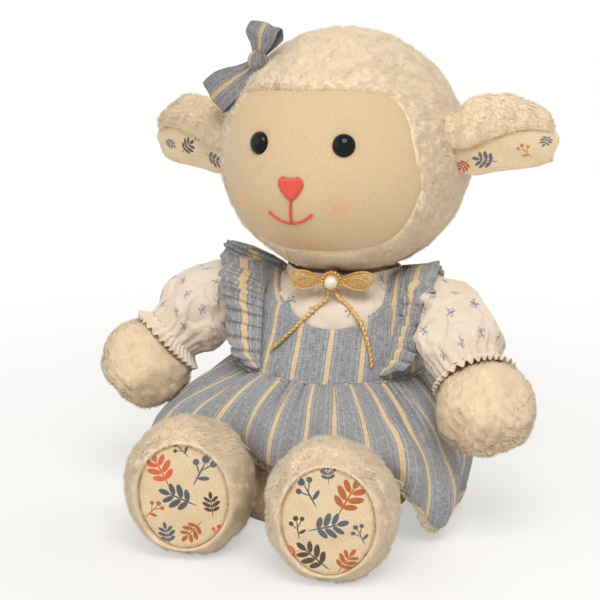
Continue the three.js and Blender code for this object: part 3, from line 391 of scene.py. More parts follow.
# Thread laid side by side: ridges across the cloth's first direction.
def threadMaterial(name, light, dark, pitch, **finish):
    net = Net(name)
    place = net.cloth()
    first = net.node("SeparateXYZ", {0: place}).outputs[0]
    ridge = net.math("SINE", net.times(first, 2 * math.pi / pitch))
    strand = net.noise(net.mapped(place, (0, 0), 0, (0.3, 4)), 1.0, 2.0)
    level = net.math("ADD", net.times(ridge, 0.3), strand)
    colour = net.mix(net.fade(level, 0.2, 0.85), rgb(dark), rgb(light))
    return net.finish(colour, level, 0.5, 0.25, **finish)


def plainNoiseMaterial(name, light, dark, scale, strength, **finish):
    net = Net(name)
    grain = net.noise(net.place(), scale, 3.0)
    colour = net.mix(net.fade(grain, 0.3, 0.7), rgb(dark), rgb(light))
    return net.finish(colour, grain, strength, 0.2, **finish)


smallSprig = sprigGroup("smallSprig", [
    (0.0, 0.0, 1.2, 0.75, 0.09, True), (0.34, 0.2, 0.35, 0.36, 0.2, False),
    (-0.3, 0.12, 2.4, 0.34, 0.18, False), (0.12, -0.34, -0.3, 0.3, 0.16, False),
    (0.12, 0.72, 1.5, 0.26, 0.15, False),
], True)
leafSprig = sprigGroup("leafSprig", [
    (0.0, -0.1, 1.57, 0.95, 0.045, True), (0.0, 0.82, 1.57, 0.3, 0.15, True),
    (0.3, 0.5, 0.7, 0.33, 0.14, True), (-0.3, 0.5, 2.44, 0.33, 0.14, True),
    (0.36, 0.1, 0.6, 0.38, 0.16, True), (-0.36, 0.1, 2.54, 0.38, 0.16, True),
    (0.3, -0.32, 0.5, 0.33, 0.15, True), (-0.3, -0.32, 2.64, 0.33, 0.15, True),
], False)
berrySprig = sprigGroup("berrySprig", [
    (0.0, -0.25, 1.5, 0.75, 0.05, True), (0.22, 0.2, 0.9, 0.34, 0.04, True),
    (-0.2, 0.0, 2.2, 0.3, 0.04, True), (0.0, 0.6, 0.0, 0.2, 0.2, True),
    (0.45, 0.5, 0.0, 0.17, 0.17, True), (-0.4, 0.26, 0.0, 0.17, 0.17, True), (0.3, -0.4, 0.4, 0.3, 0.12, True),
], False)

plushSkin = plushMaterial("plushMaterial", "F7E5C8", "EBD3AF", 2.6, 0.6)
hiddenPlush = plushMaterial("bodyPlushMaterial", "EBD6B6", "D3B98F", 2.0, 0.8)
furTones = [furTone(f"fur{k}", code) for k, code in enumerate(("FCEBD0", "F7E2C3", "F0D9B6", "E6CCA5"))]
stripeWeave = stripeGroup()
stripes = stripeMaterial("stripedCottonMaterial", stripeWeave, "FFFFFF")
# The hair bow's copy of the cloth is darkened by painted shade.
paintedShadeBowStripes = stripeMaterial("bowCottonPaintedShadeMaterial", stripeWeave, "DCD8D6")
blouseCotton = blouseMaterial(smallSprig)
laceThread = plainNoiseMaterial("laceMaterial", "EFE3CB", "CDB893", 1.2, 0.4,
                                Roughness=0.85, Sheen_Weight=0.1)
coral = threadMaterial("coralThreadMaterial", "F0604A", "C93A22", 0.62, Roughness=0.5, Sheen_Weight=0.2)
gold = threadMaterial("goldRibbonMaterial", "F0CC84", "B98A40", 0.8, Roughness=0.38, Metallic=0.35)
goldEdge = plainNoiseMaterial("goldCordMaterial", "EFCB86", "B2823A", 1.6, 0.6, Roughness=0.36, Metallic=0.4)
fibreFill = plainNoiseMaterial("fibreMaterial", "F5F2EC", "DAD4C8", 0.5, 0.6, Roughness=1.0, Sheen_Weight=0.3)
blackGloss = plainNoiseMaterial("blackPlasticMaterial", "0A0807", "050404", 0.5, 0.02, Roughness=0.1,
                                Specular_IOR_Level=0.22)
whitePlastic = plainNoiseMaterial("whitePlasticMaterial", "E8E6DF", "D8D5CC", 0.7, 0.1, Roughness=0.4)
pearlGloss = plainNoiseMaterial("pearlMaterial", "F4EAD8", "E4D3B8", 0.25, 0.03,
                                Roughness=0.16, Coat_Weight=0.5)


# Corners of the faces between rows and columns of points.
def gridQuads(rows, columns, around):
    i, j = np.meshgrid(np.arange(rows - 1), np.arange(columns if around else columns - 1), indexing="ij")
    first, second, below = i * columns + j, i * columns + (j + 1) % columns, columns
    return np.stack([first, second, second + below, first + below], -1)


# Mesh making: a grid of points, with cloth places kept on its vertices.
def gridPiece(name, points, material, body, cloth=None, around=False, caps=(False, False), keep=None,
              thick=0.0):
    rows, columns = points.shape[:2]
    flat = points.reshape(-1, 3)
    quads = gridQuads(rows, columns, around)
    quads = quads[keep] if keep is not None else quads.reshape(-1, 4)
    faces = quads.tolist()
    if caps[0]:
        faces.append(list(range(columns))[::-1])
    if caps[1]:
        faces.append([(rows - 1) * columns + c for c in range(columns)])
    # A closed shape is turned to face outwards.
    corner = flat[quads]
    facing = np.cross(corner[:, 2] - corner[:, 0], corner[:, 3] - corner[:, 1])
    if (around or all(caps)) and np.sum(facing * (corner.mean(axis=1) - flat.mean(axis=0))) < 0:
        faces = [face[::-1] for face in faces]
    return meshPiece(name, flat, faces, material, body, cloth, thick)


def linked(name, data):
    made = bpy.data.objects.new(name, data)
    bpy.context.collection.objects.link(made)
    return made


def thicken(piece, thick):
    solid = piece.modifiers.new("cloth", "SOLIDIFY")
    solid.thickness = thick * metre
    solid.offset = 0


def meshPiece(name, flat, faces, material, body, cloth=None, thick=0.0):
    mesh = bpy.data.meshes.new(name)
    mesh.from_pydata((flat * metre).tolist(), [], faces)
    if cloth is not None:
        layer = mesh.attributes.new("cloth", "FLOAT_VECTOR", "POINT")
        layer.data.foreach_set("vector", np.asarray(cloth, np.float32).reshape(-1, 3).ravel())
    mesh.shade_smooth()
    mesh.update()
    piece = linked(name, mesh)
    mesh.materials.append(material)
    if thick:
        thicken(piece, thick)
    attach(piece, body)
    return piece


def dressed(piece, slot, *nodes):
    if nodes:
        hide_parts(*nodes)
    return piece


# A closed piece, and the node it stands for.
def paddedPiece(name, points, material, body, slot, fill, *nodes, caps=(True, True), **shape):
    piece = gridPiece(name, points, material, body, around=True, caps=caps, **shape)
    dressed(piece, slot, *nodes)
    return piece


# Places in millimetres and normals at a mesh's vertices.
def surfaceOf(mesh, kind=float):
    values = {name: np.empty(len(mesh.vertices) * 3, kind) for name in ("co", "normal")}
    for name, array in values.items():
        mesh.vertices.foreach_get(name, array)
    return values["co"].reshape(-1, 3) * 1000, values["normal"].reshape(-1, 3)


def clothPlaces(u, v):
    return np.stack([u, v, 0 * u], -1)


# Moves every point outwards along its own surface normal.
def swell(points, amount, around=False):
    if around:
        ringed = np.concatenate([points[:, -1:], points, points[:, :1]], 1)
        across = np.gradient(ringed, axis=1)[:, 1:-1]
    else:
        across = np.gradient(points, axis=1)
    normal = unit(np.cross(np.gradient(points, axis=0), across))
    outwards = np.sign(np.sum(normal * (points - points.mean(axis=1, keepdims=True))))
    return points + outwards * normal * amount[..., None]


# Ovals along a line of centres, from half sizes that may change round each oval.
def tubePoints(centres, ahead, wide, high, angles, upHint=upward):
    right = unit(np.cross(ahead, upHint))
    up = np.cross(right, ahead)
    turn = angles[None, :, None]
    wide, high = (size.reshape(len(centres), -1, 1) for size in (wide, high))
    return centres[:, None] + right[:, None] * wide * np.cos(turn) + up[:, None] * high * np.sin(turn)


# Cloth blown out softly between its held points, no point moving further than the cap.
def puffed(piece, held, pressure, frames, cap):
    mesh = piece.data
    before = np.empty(len(mesh.vertices) * 3)
    mesh.vertices.foreach_get("co", before)
    before = before.reshape(-1, 3)
    pins = piece.vertex_groups.new(name="held")
    pins.add(held.tolist(), 1.0, "REPLACE")
    sewn = piece.modifiers.new("sewn", "CLOTH")
    sewn.settings.quality = 6
    sewn.settings.mass = 0.1
    sewn.settings.tension_stiffness = sewn.settings.compression_stiffness = 12
    sewn.settings.shear_stiffness = 4
    sewn.settings.bending_stiffness = 0.03
    sewn.settings.vertex_group_mass = "held"
    sewn.settings.use_pressure = True
    sewn.settings.uniform_pressure_force = pressure
    sewn.settings.shrink_min = -0.1
    sewn.settings.effector_weights.gravity = 0
    sewn.collision_settings.use_collision = False
    sewn.point_cache.frame_end = frames
    for frame in range(1, frames + 1):
        bpy.context.scene.frame_set(frame)
    shaped = piece.evaluated_get(bpy.context.evaluated_depsgraph_get()).to_mesh()
    after = np.empty(len(before) * 3)
    shaped.vertices.foreach_get("co", after)
    step = after.reshape(-1, 3) - before
    far = np.linalg.norm(step, axis=1, keepdims=True)
    step *= np.minimum(1, cap * metre / np.maximum(far, 1e-9))
    piece.modifiers.remove(sewn)
    piece.vertex_groups.remove(pins)
    mesh.vertices.foreach_set("co", (before + step).ravel())
    mesh.update()
    bpy.context.scene.frame_set(1)


# Short pile: a tapered blade at each of many seeded places on a piece.
def addFur(name, piece, body, perArea, length, wanted, comb, lean, seed, paintedShade=0):
    mesh = piece.data
    mesh.calc_loop_triangles()
    place, normal = surfaceOf(mesh)
    corner = np.empty(len(mesh.loop_triangles) * 3, np.int32)
    mesh.loop_triangles.foreach_get("vertices", corner)
    corner = corner.reshape(-1, 3)
    a, b, c = (place[corner[:, k]] for k in range(3))
    area = np.linalg.norm(np.cross(b - a, c - a), axis=1) / 2
    rng = np.random.default_rng(seed)
    area = area * wanted((a + b + c) / 3)
    count = int(area.sum() * perArea)
    pick = rng.choice(len(corner), count, p=area / area.sum())
    r1, r2 = np.sqrt(rng.random((count, 1))), rng.random((count, 1))
    weights = (1 - r1, r1 * (1 - r2), r1 * r2)
    root = sum(w * place[corner[pick, k]] for k, w in enumerate(weights))
    out = unit(sum(w * normal[corner[pick, k]] for k, w in enumerate(weights)))
    swirl = np.stack([ripple(root, 9, seed + k, 12) for k in range(3)], 1)
    level = lambda v: v - out * np.sum(v * out, 1, keepdims=True)
    way = level(np.array(comb, float) + 0 * out)
    weak = np.maximum(0, 0.75 - np.linalg.norm(way, axis=1, keepdims=True))
    way = way + weak * level(np.array([1.0, 0.2, 0]) + 0 * out)
    way = level(way + 0.12 * swirl + 0.2 * rng.normal(size=(count, 3)))
    way /= np.maximum(np.linalg.norm(way, axis=1, keepdims=True), 0.6)
    direction = unit(out + way * lean)
    size = length * rng.uniform(0.6, 1.15, (count, 1)) * (1 + 0.12 * swirl[:, :1])
    side = unit(np.cross(out, direction) + 0.45 * rng.normal(size=(count, 3)))
    side = unit(side - direction * np.sum(side * direction, 1, keepdims=True)) * 0.25
    side *= np.sign(np.sum(np.cross(side, direction) * out, 1, keepdims=True))
    root = root - out * 0.4
    points = np.stack([root - side, root + side, root + direction * size], 1)
    # Painted shade: each step moves the blades to the next darker fur tone.
    tone = np.clip((swirl[:, 1] * 0.35 + rng.normal(size=count) * 0.5 + 1.4).astype(int), 0, 2) + paintedShade
    fur = bpy.data.meshes.new(name)
    fur.from_pydata((points.reshape(-1, 3) * metre).tolist(), [],
                    np.arange(count * 3).reshape(-1, 3).tolist())
    for material in furTones:
        fur.materials.append(material)
    fur.polygons.foreach_set("material_index", tone.astype(np.int32))
    fur.shade_smooth()
    soft = unit(np.repeat(out, 3, axis=0) + 0.2 * np.repeat(direction, 3, axis=0))
    fur.normals_split_custom_set_from_vertices(soft.tolist())
    strands = linked(name, fur)
    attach(strands, body)


# Camera at the photograph's place, and soft studio light
def addCamera():
    turn, lift = math.radians(20), math.radians(15)
    away = Vector((math.sin(turn) * math.cos(lift), -math.cos(turn) * math.cos(lift), math.sin(lift)))
    right = Vector((math.cos(turn), math.sin(turn), 0))
    up = right.cross(-away).normalized()
    pixel, pictureSize, distance = 0.00065, 600, 1.25
    aim = Vector((0, 0, 0.15)) - right * 15 * pixel - up * 16 * pixel
    camera = linked("camera", bpy.data.cameras.new("camera"))
    camera.location = aim + away * distance
    camera.rotation_euler = (-away).to_track_quat("-Z", "Y").to_euler()
    camera.data.lens = 36 * distance / (pictureSize * pixel)
    bpy.context.scene.camera = camera


def addLight(name, at, size, power):
    lamp = linked(name, bpy.data.lights.new(name, "AREA"))
    lamp.data.size = size
    lamp.data.energy = power
    lamp.data.color = (1, 0.98, 0.95)
    lamp.location = at
    lamp.rotation_euler = (Vector((0.01, 0, 0.17)) - Vector(at)).to_track_quat("-Z", "Y").to_euler()


# One where the camera, a mirror or glass looks.
def seenRay(net):
    path = net.node("LightPath")
    mirrored = net.math("MAXIMUM", path.outputs["Is Glossy Ray"], path.outputs["Is Transmission Ray"])
    return net.math("MAXIMUM", path.outputs["Is Camera Ray"], mirrored)


def addStudio():
    addLight("keyLight", (0.45, -1.05, 1.5), 0.9, 19.4)
    addLight("fillLight", (-1.2, -1.1, 0.8), 1.4, 4.5)
    addLight("backLight", (0.3, 1.3, 1.2), 1.0, 7)
    world = bpy.data.worlds.new("studio")
    bpy.context.scene.world = world
    world.use_nodes = True
    tree = world.node_tree
    tree.nodes.clear()
    net = Net("", tree)
    white = (1, 0.995, 0.985, 1)
    strength = net.math("ADD", 0.4, net.times(seenRay(net), 0.6))
    sky = net.node("Background", {"Color": white, "Strength": strength})
    tree.links.new(sky.outputs[0], net.node("OutputWorld").inputs[0])
    # The floor keeps the shadow near the toy and turns to plain white further out.
    net = Net("floorMaterial")
    place = net.place()
    grain = net.noise(place, 0.02, 2.0)
    paper = net.mix(grain, (0.9, 0.895, 0.885, 1), (0.93, 0.925, 0.915, 1))
    shaded = net.node("BsdfPrincipled", {"Base Color": paper, "Roughness": 0.95}).outputs[0]
    away = net.node("VectorMath", {0: place}, operation="LENGTH").outputs["Value"]
    plain = net.math("ADD", 0.5, net.times(net.fade(away, 150.0, 620.0), 0.5))
    bare = net.node("Emission", {"Color": white, "Strength": 1.0}).outputs[0]
    look = net.node("MixShader", {0: net.times(plain, seenRay(net)), 1: shaded, 2: bare})
    net.node("OutputMaterial", {"Surface": look.outputs[0]})
    mesh = bpy.data.meshes.new("floor")
    mesh.from_pydata([(-3, -3, 0), (3, -3, 0), (3, 3, 0), (-3, 3, 0)], [], [(0, 1, 2, 3)])
    mesh.materials.append(net.material)
    floor = linked("floor", mesh)
    bpy.context.scene.view_settings.view_transform = "Standard"


addCamera()
addStudio()
print("stage: camera and light")

# Head: fleece and smooth face share one surface and part at the face seam
faceHalf, faceDrop = (68.0, 52.0), 4.0
faceShares = [
    [0, 1], [0.4, 0.99], [0.68, 0.92], [0.83, 0.74], [0.92, 0.48], [0.98, 0.08],
    [1, -0.18], [0.88, -0.6], [0.7, -0.86], [0.44, -0.97], [0, -1],
]


def faceDistance(x, z):
    half = np.array(faceShares) * faceHalf + (0, headRise - faceDrop)
    ring = curveThrough([*half.tolist(), *[[-p[0], p[1]] for p in half[-2:0:-1].tolist()]], True,
                        turns(120) / (2 * np.pi))
    p = np.stack([x, z], -1).reshape(-1, 2)
    best = np.full(len(p), 1e9)
    inside = np.zeros(len(p), bool)
    for a, b in zip(ring, np.roll(ring, -1, 0)):
        t = np.clip(((p - a) @ (b - a)) / ((b - a) @ (b - a)), 0, 1)
        best = np.minimum(best, np.linalg.norm(p - a - t[:, None] * (b - a), axis=1))
        crosses = (a[1] > p[:, 1]) != (b[1] > p[:, 1])
        inside ^= crosses & (p[:, 0] < (b[0] - a[0]) * (p[:, 1] - a[1]) / (b[1] - a[1] + 1e-12) + a[0])
    return np.where(inside, -best, best).reshape(x.shape)


def headSurface(rise, around, grow=0.0):
    wide = np.sqrt(np.maximum(0, 1 - rise**2)) * (1 - cheekShare * rise)
    half = headHalf + grow
    return np.stack([half[0] * wide * np.cos(around), half[1] * wide * np.sin(around),
                     headRise + rise * half[2] + 0 * around], -1)


def onFace(x, z, grow):
    rise = (z - headRise) / (headHalf[2] + grow)
    wide = np.sqrt(np.maximum(1e-6, 1 - rise**2)) * (1 - cheekShare * rise)
    across = x / ((headHalf[0] + grow) * wide)
    return np.stack([x, -(headHalf[1] + grow) * wide * np.sqrt(np.maximum(0, 1 - across**2)), z], -1)


eyeSide, eyeHeight, eyeRadius = 80 * math.sin(math.radians(20.5)), 15.0, 7.2
noseAt, mouthAt = (-4.0, headRise - 11), (-7.0, headRise - 34)


# How far the face stands off the plain head: a low muzzle, eye dimples and the seam's groove.
def faceOffset(x, z, seam):
    muzzle = 2.2 * np.exp(-(((x - noseAt[0]) / 26) ** 2 + ((z - headRise + 22) / 20) ** 2))
    eyes = sum(np.exp(-(((x - s * eyeSide) ** 2 + (z - headRise - eyeHeight) ** 2) / 75)) for s in (-1, 1))
    groove = 2.2 * smooth(-3.5, 2.5, seam)
    stitch = 0.45 * np.exp(-(((x - mouthAt[0]) / 1.1) ** 2)) * smooth(mouthAt[1] - 1, mouthAt[1] - 7, z)
    return 0.3 + muzzle * smooth(-2, -16, seam) - 1.1 * eyes - groove - stitch


def addHead():
    rise = -np.cos(np.linspace(0.045, np.pi - 0.045, 190))
    r, a = np.meshgrid(rise, turns(300), indexing="ij")
    plain = headSurface(r, a)
    front = plain[..., 1] < -headHalf[1] / 4
    seam = np.where(front, faceDistance(plain[..., 0], plain[..., 2]), 60.0)
    world = moved(plain, headMatrix)
    tufts = 0.22 * ripple(world, 8, 11) + 0.45 * ripple(world, 26, 12)
    brow = smooth(headRise + 12, headRise + 38, plain[..., 2])
    rolled = 0.3 - 3.2 * smooth(1.5, -3.5, seam) + (0.3 + 1.2 * brow) * np.exp(-((seam - 3.5) / 3) ** 2)
    fleece = moved(swell(plain, tufts + rolled, around=True), headMatrix)
    keep = (seam > -2.5)[:-1]
    piece = paddedPiece("headFleece", fleece, plushSkin, "head", "plush", 0.9, "head_cover", keep=keep)

    def outside(p):
        q = moved(p, headInverse)
        gone = np.where(q[:, 1] < -headHalf[1] / 4, faceDistance(q[:, 0], q[:, 2]), 60.0)
        return (gone > -1.2) * smooth(-19, -12, q[:, 2])

    addFur("headFur", piece, "head", 1.9, 3.5, outside, comb=(0.05, 1, -0.35), lean=1.6, seed=3)

    z, x = np.meshgrid(headRise - faceDrop + np.linspace(-1, 1, 190) * (faceHalf[1] + 4),
                       np.linspace(-1, 1, 230) * (faceHalf[0] + 4), indexing="ij")
    seam = faceDistance(x, z)
    rise = (z - headRise) / headHalf[2]
    limit = (headHalf[0] - 1.5) * np.sqrt(np.maximum(0, 1 - rise**2)) * (1 - cheekShare * rise)
    x = np.clip(x, -limit, limit)
    face = swell(onFace(x, z, 0.0), faceOffset(x, z, seam))
    keep = (seam < 3.0)[:-1, :-1]
    blushesAndPaintedShade = []
    # Two blushes, then painted shade: a brown tint under the chin.
    for at, reach, code, most in (((24, 35), 10, "F0A184", 0.5), ((-48, 31), 12, "F3BC7C", 0.45),
                                   ((-6, -2), 36, "BF8F58", 0.5)):
        point = moved(onFace(np.array(float(at[0])), np.array(float(at[1])), 0.0), headMatrix)
        blushesAndPaintedShade.append((tuple(point), reach, code, most))
    piece = gridPiece("facePlush", moved(face, headMatrix), faceMaterial(blushesAndPaintedShade), "head", keep=keep)
    dressed(piece, "smooth_plush", "face_panel")
    inner = headSurface(r[::4, ::4], a[::4, ::4], -5.5)
    lumps = moved(swell(inner, 0.8 * ripple(inner, 12, 5) - 0.8, around=True), headMatrix)
    paddedPiece("headFilling", lumps, fibreFill, "head", "fibre", 0.9, "head_stuffing")


def addFaceFeatures():
    dome = [(eyeRadius * math.sin(t), 0.6 + 4.8 * math.cos(t)) for t in np.linspace(0.05, 1.5, 16)]
    rim = [(eyeRadius, 0.2), (eyeRadius * 0.92, -0.4), (3.0, -0.6), (2.0, -1.2), (2.0, -8.8), (1.6, -9)]
    radius, depth = np.array(dome + rim).T
    for side, way in sides.items():
        at = onFace(np.array(way * eyeSide), np.array(headRise + eyeHeight), -1.2)
        normal = unit((at - (0, 0, headRise)) / headHalf**2)
        ahead = np.tile(normal, (len(depth), 1))
        points = tubePoints(at + depth[:, None] * normal, ahead, radius, radius, turns(40))
        eye = gridPiece(f"{side}Eye", moved(points, headMatrix), blackGloss, "head", around=True,
                        caps=(True, True))
        dressed(eye, "black_plastic", f"{side}_eye")
        washer = frame["nodes"][f"{side}_eye_washer"]
        washer.data.materials.clear()
        washer.data.materials.append(whitePlastic)
    # Satin nose: a wide top that narrows to a blunt point, padded in its middle.
    v, u = np.meshgrid(np.linspace(0.02, 0.98, 60), np.linspace(-1, 1, 90), indexing="ij")
    half = 8.8 * np.interp(v, [0, 0.06, 0.16, 0.35, 0.6, 0.85, 1], [0.5, 0.74, 0.93, 1, 0.8, 0.46, 0.2])
    x = noseAt[0] + u * half
    z = noseAt[1] + 7.2 - 14 * v + 0.9 * (1 - v) * (np.abs(u) ** 2 - 0.4)
    edge = np.sqrt(np.clip((1 - np.abs(u) ** 3) * np.minimum(1, np.minimum(v, 1 - v) * 7), 0, 1))
    grow = faceOffset(x, z, -30 + 0 * x) + 0.2 + 2.1 * edge + 0.12 * np.sin(x * 2 * np.pi / 0.62)
    nose = gridPiece("noseSatin", moved(onFace(x, z, grow), headMatrix), coral, "head", clothPlaces(x, z),
                     thick=0.5)
    dressed(nose, "coral_thread", "nose_embroidery")
    # Mouth: one line of short stitches for the smile and one up to the nose.
    across = np.linspace(-1, 1, 150)
    smile = np.stack([mouthAt[0] + 15.5 * across, mouthAt[1] + 7 * across**2], 1)
    line = np.linspace((noseAt[0], noseAt[1] - 6.5), mouthAt, 60)
    for name, path, nodes in (("mouthSmile", smile, ("mouth_embroidery",)), ("mouthLine", line, ())):
        run = arcLength(path)
        stitch = np.abs(np.sin(np.pi * run / 3.1))
        grow = faceOffset(path[:, 0], path[:, 1], -30 + 0 * run) + 0.55 + 0.25 * stitch
        centres = onFace(path[:, 0], path[:, 1], grow)
        radius = 0.62 + 0.36 * stitch
        radius[[0, -1]] = 0.1
        angles = turns(12)
        tube = tubePoints(centres, unit(np.gradient(centres, axis=0)), radius, radius, angles, (0, -1, 0.3))
        v, u = np.meshgrid(angles, run)
        thread = gridPiece(name, moved(tube, headMatrix), coral, "head", clothPlaces(u + 0.3 * v, v),
                           around=True,
                           caps=(True, True))
        dressed(thread, "coral_thread", *nodes)


addHead()
addFaceFeatures()
print("stage: head")

# Ears: a plush roll over a printed lining
earHalf = (10.0, 25.0)
earShares = [
    [0, 0.84, 0.7], [0.14, 1, 0.95], [0.38, 0.92, 1], [0.64, 0.8, 0.92],
    [0.84, 0.62, 0.72], [0.95, 0.38, 0.48], [1, 0.12, 0.2],
]


def addEar(side):
    way = sides[side]
    long, back, bow = 63.0, 18.0, 5.0
    root = np.array([way * headHalf[2], -11.0, headRise + (9 if way > 0 else 4)])
    tip = root + (way * long, back, 0)
    middle = (root + tip) / 2 + (0, 0, bow)
    s = np.concatenate([np.linspace(0, 0.9, 60), 0.9 + 0.1 * np.sin(np.linspace(0.1, np.pi / 2, 16))])
    centres, ahead = evenly([root, middle, tip], s)
    out = unit(ahead * (1, 1, 0))
    forward = unit(np.cross(out, (0, 0, way)))
    thick, high = (earHalf[k] * share(earShares, s, k + 1) * np.sqrt(np.clip((1.012 - s) * 9, 0.02, 1))
                   for k in range(2))
    # The root runs on into the head's pile and closes round.
    inward, closing = np.array([9.0, 8.0, 6.0, 3.0]), np.array([0.3, 0.6, 0.85, 0.97])
    centres = np.concatenate([centres[:1] - out[:1] * inward[:, None], centres])
    forward = np.concatenate([np.repeat(forward[:1], 4, 0), forward])
    thick, high = (np.concatenate([v[0] * closing, v]) for v in (thick, high))
    s = np.concatenate([np.zeros(4), s])
    last = np.radians(np.interp(s, [0, 0.25, 0.7, 1], [198, 193, 166, 148]))
    # The roll goes over the top on its outer side and comes back on its inner one.
    first = math.radians(-96)
    w = np.concatenate([np.linspace(0, 1, 56), np.linspace(1, 0, 40)])
    angle = first + (last[:, None] - first) * w
    layer = np.where(np.arange(96) < 56, 1.0, 0.42)
    scale = 0.7 + (layer - 0.7) * np.sqrt(np.minimum(1, np.minimum(w, 1 - w) * 9))
    outer = -np.cos(angle) * scale * thick[:, None]
    rise = np.sin(angle) * scale * high[:, None]
    points = centres[:, None] + forward[:, None] * outer[..., None] + upward * rise[..., None]
    world = moved(points, headMatrix)
    world = swell(world, 0.3 * ripple(world, 14, 21 + way), around=True)
    body = f"{side}_ear"
    roll = paddedPiece(f"{side}EarPlush", world, plushSkin, body, "plush", 0.4, f"{side}_ear_cover")

    def furred(p):
        q = moved(p, headInverse)
        local = (q[:, 0] * way - headHalf[2]) / long
        t, h = (earHalf[k] * share(earShares, np.clip(local, 0, 1), k + 1) for k in range(2))
        y = q[:, 1] - root[1] - back * local
        z = q[:, 2] - root[2] - bow * np.sin(np.pi * np.clip(local, 0, 1))
        return ((y / t) ** 2 + (z / h) ** 2 > 0.6).astype(float)

    # Painted shade darkens the right ear's fur by one tone.
    addFur(f"{side}EarFur", roll, body, 1.7, 3.2, furred, comb=(way, 0.5, -0.4), lean=1.6, seed=31 + way,
           paintedShade=int(way < 0))
    # Lining: from under the roll down to the ear's lower edge
    rows = np.linspace(0, 1, 64)
    span = s[5:-3]
    c, f = centres[5:-3], forward[5:-3]
    t, h = thick[5:-3, None], high[5:-3, None]
    z = h * (0.5 - 1.46 * rows)
    y = t * (0.30 + 0.34 * np.sin(np.pi * rows) - 0.34 * rows)
    fine = np.linspace(0, len(span) - 1, 110)
    points = c[:, None] + f[:, None] * y[..., None] + upward * z[..., None]
    points = np.stack([np.stack([np.interp(fine, np.arange(len(span)), points[:, j, k]) for k in range(3)], 1)
                       for j in range(len(rows))], 1)
    runAt = np.interp(fine, np.arange(len(span)), span * 66)
    v, u = np.meshgrid(rows * 36, runAt)
    points = points + (0.35 * ripple(points, 14, 8))[..., None] * np.array([0, -1, 0])
    cloth = clothPlaces(u + (0 if way > 0 else 80), v)
    lining = gridPiece(f"{side}EarLining", moved(points, headMatrix), earPrint, body, cloth, thick=0.7)
    dressed(lining, "blouse_cotton", f"{side}_ear_lining")


earPrint = leafPrintMaterial("earPrintMaterial", [
    ((20, 27), 1.9, 8, "4E5B6B", 0), ((45, 23), 2.6, 7, "C9803A", 1), ((58, 14), 0.4, 6, "5F6B7A", 0),
    ((6, 30), 0.6, 6, "B4591C", 0), ((92, 26), 1.2, 8, "4E5B6B", 0), ((115, 22), 2.2, 8, "3D3F42", 0),
    ((104, 12), 0.2, 6, "B4591C", 1), ((132, 20), 1.0, 6, "5F6B7A", 0),
])
for side in sides:
    addEar(side)
print("stage: ears")


# Torso, its filling and the neck
def ringPoints(heights, grow, around):
    wide, deep = torsoHalves(heights)
    c = spine(heights)
    return np.stack([c[:, 0, None] + (wide + grow)[:, None] * np.cos(around),
                     c[:, 1, None] + (deep + grow)[:, None] * np.sin(around),
                     heights[:, None] + 0 * around], -1)


def addTorso():
    around = turns(200)
    heights = np.concatenate([[0.0, 0.02], np.linspace(0.6, neckHeight - 0.5, 90)])
    points = ringPoints(heights, -0.6 - 1.2 * smooth(70, 95, heights), around)
    inward = np.concatenate([[0.02, 0.985], np.ones(90)])[:, None, None]
    centre = spine(heights)[:, None]
    points = centre + (points - centre) * inward
    soft = (0.4 * ripple(points, 9, 41) - 0.3) * smooth(1, 6, heights)[:, None]
    skin = swell(points, soft, around=True)
    paddedPiece("torsoPlush", skin, hiddenPlush, "torso", "plush", 0.85, "torso_cover")
    inner = ringPoints(np.linspace(4.2, neckHeight - 5, 40), -5.5 + np.zeros(40), around[::3])
    lumps = swell(inner, 0.7 * ripple(inner, 11, 42) - 0.7, around=True)
    paddedPiece("torsoFilling", lumps, fibreFill, "torso", "fibre", 0.85, "torso_stuffing")
    bottom, top = neckHeight - 24, neckBallHeight
    crown = top - 17 * np.cos(np.linspace(0.75, 3.08, 24))
    z = np.concatenate([np.linspace(bottom + 0.5, top - 13, 20), crown])
    radius = np.where(z < top - 12.5, 11.5, np.sqrt(np.maximum(0.3, 16.6**2 - (z - top) ** 2)))
    centres = np.stack([neckPoint[0] + 0 * z, neckPoint[1] + 0 * z, z], 1)
    points = tubePoints(centres, np.tile(upward, (len(z), 1)), radius, radius, around[::3], (0, 1, 0))
    paddedPiece("neckFilling", points, fibreFill, "neck", "fibre", 0.9, "neck_stuffing")


# Legs: thigh and foot in plush, with a flat printed sole let into the front
footShares = [
    [-1, 0.2], [-0.92, 0.5], [-0.7, 0.76], [-0.35, 0.93], [0.05, 1],
    [0.45, 0.98], [0.75, 0.9], [0.93, 0.78], [1, 0.62],
]
footHalf = np.array([40.0, 43.0, 27.0])
footTurn = math.radians(12)
footAxis = np.array([math.sin(footTurn), -math.cos(footTurn), 0])
footRight = np.array([math.cos(footTurn), math.sin(footTurn), 0])
feet = {"right": np.array([-46.0, -101.0, 42.5]), "left": np.array([51.0, -110.0, 42.5])}


# Places in a foot's own frame, from millimetres ahead of its middle, across and up.
def footPoints(side, ahead, across, up):
    return feet[side] + footAxis * ahead[..., None] + footRight * across[..., None] + upward * up[..., None]


def flattened(points, floor=0.35):
    low = points[..., 2]
    points[..., 2] = np.where(low < floor + 2.5, floor + 2.5 * np.exp((low - floor - 2.5) / 2.5), low)
    return points


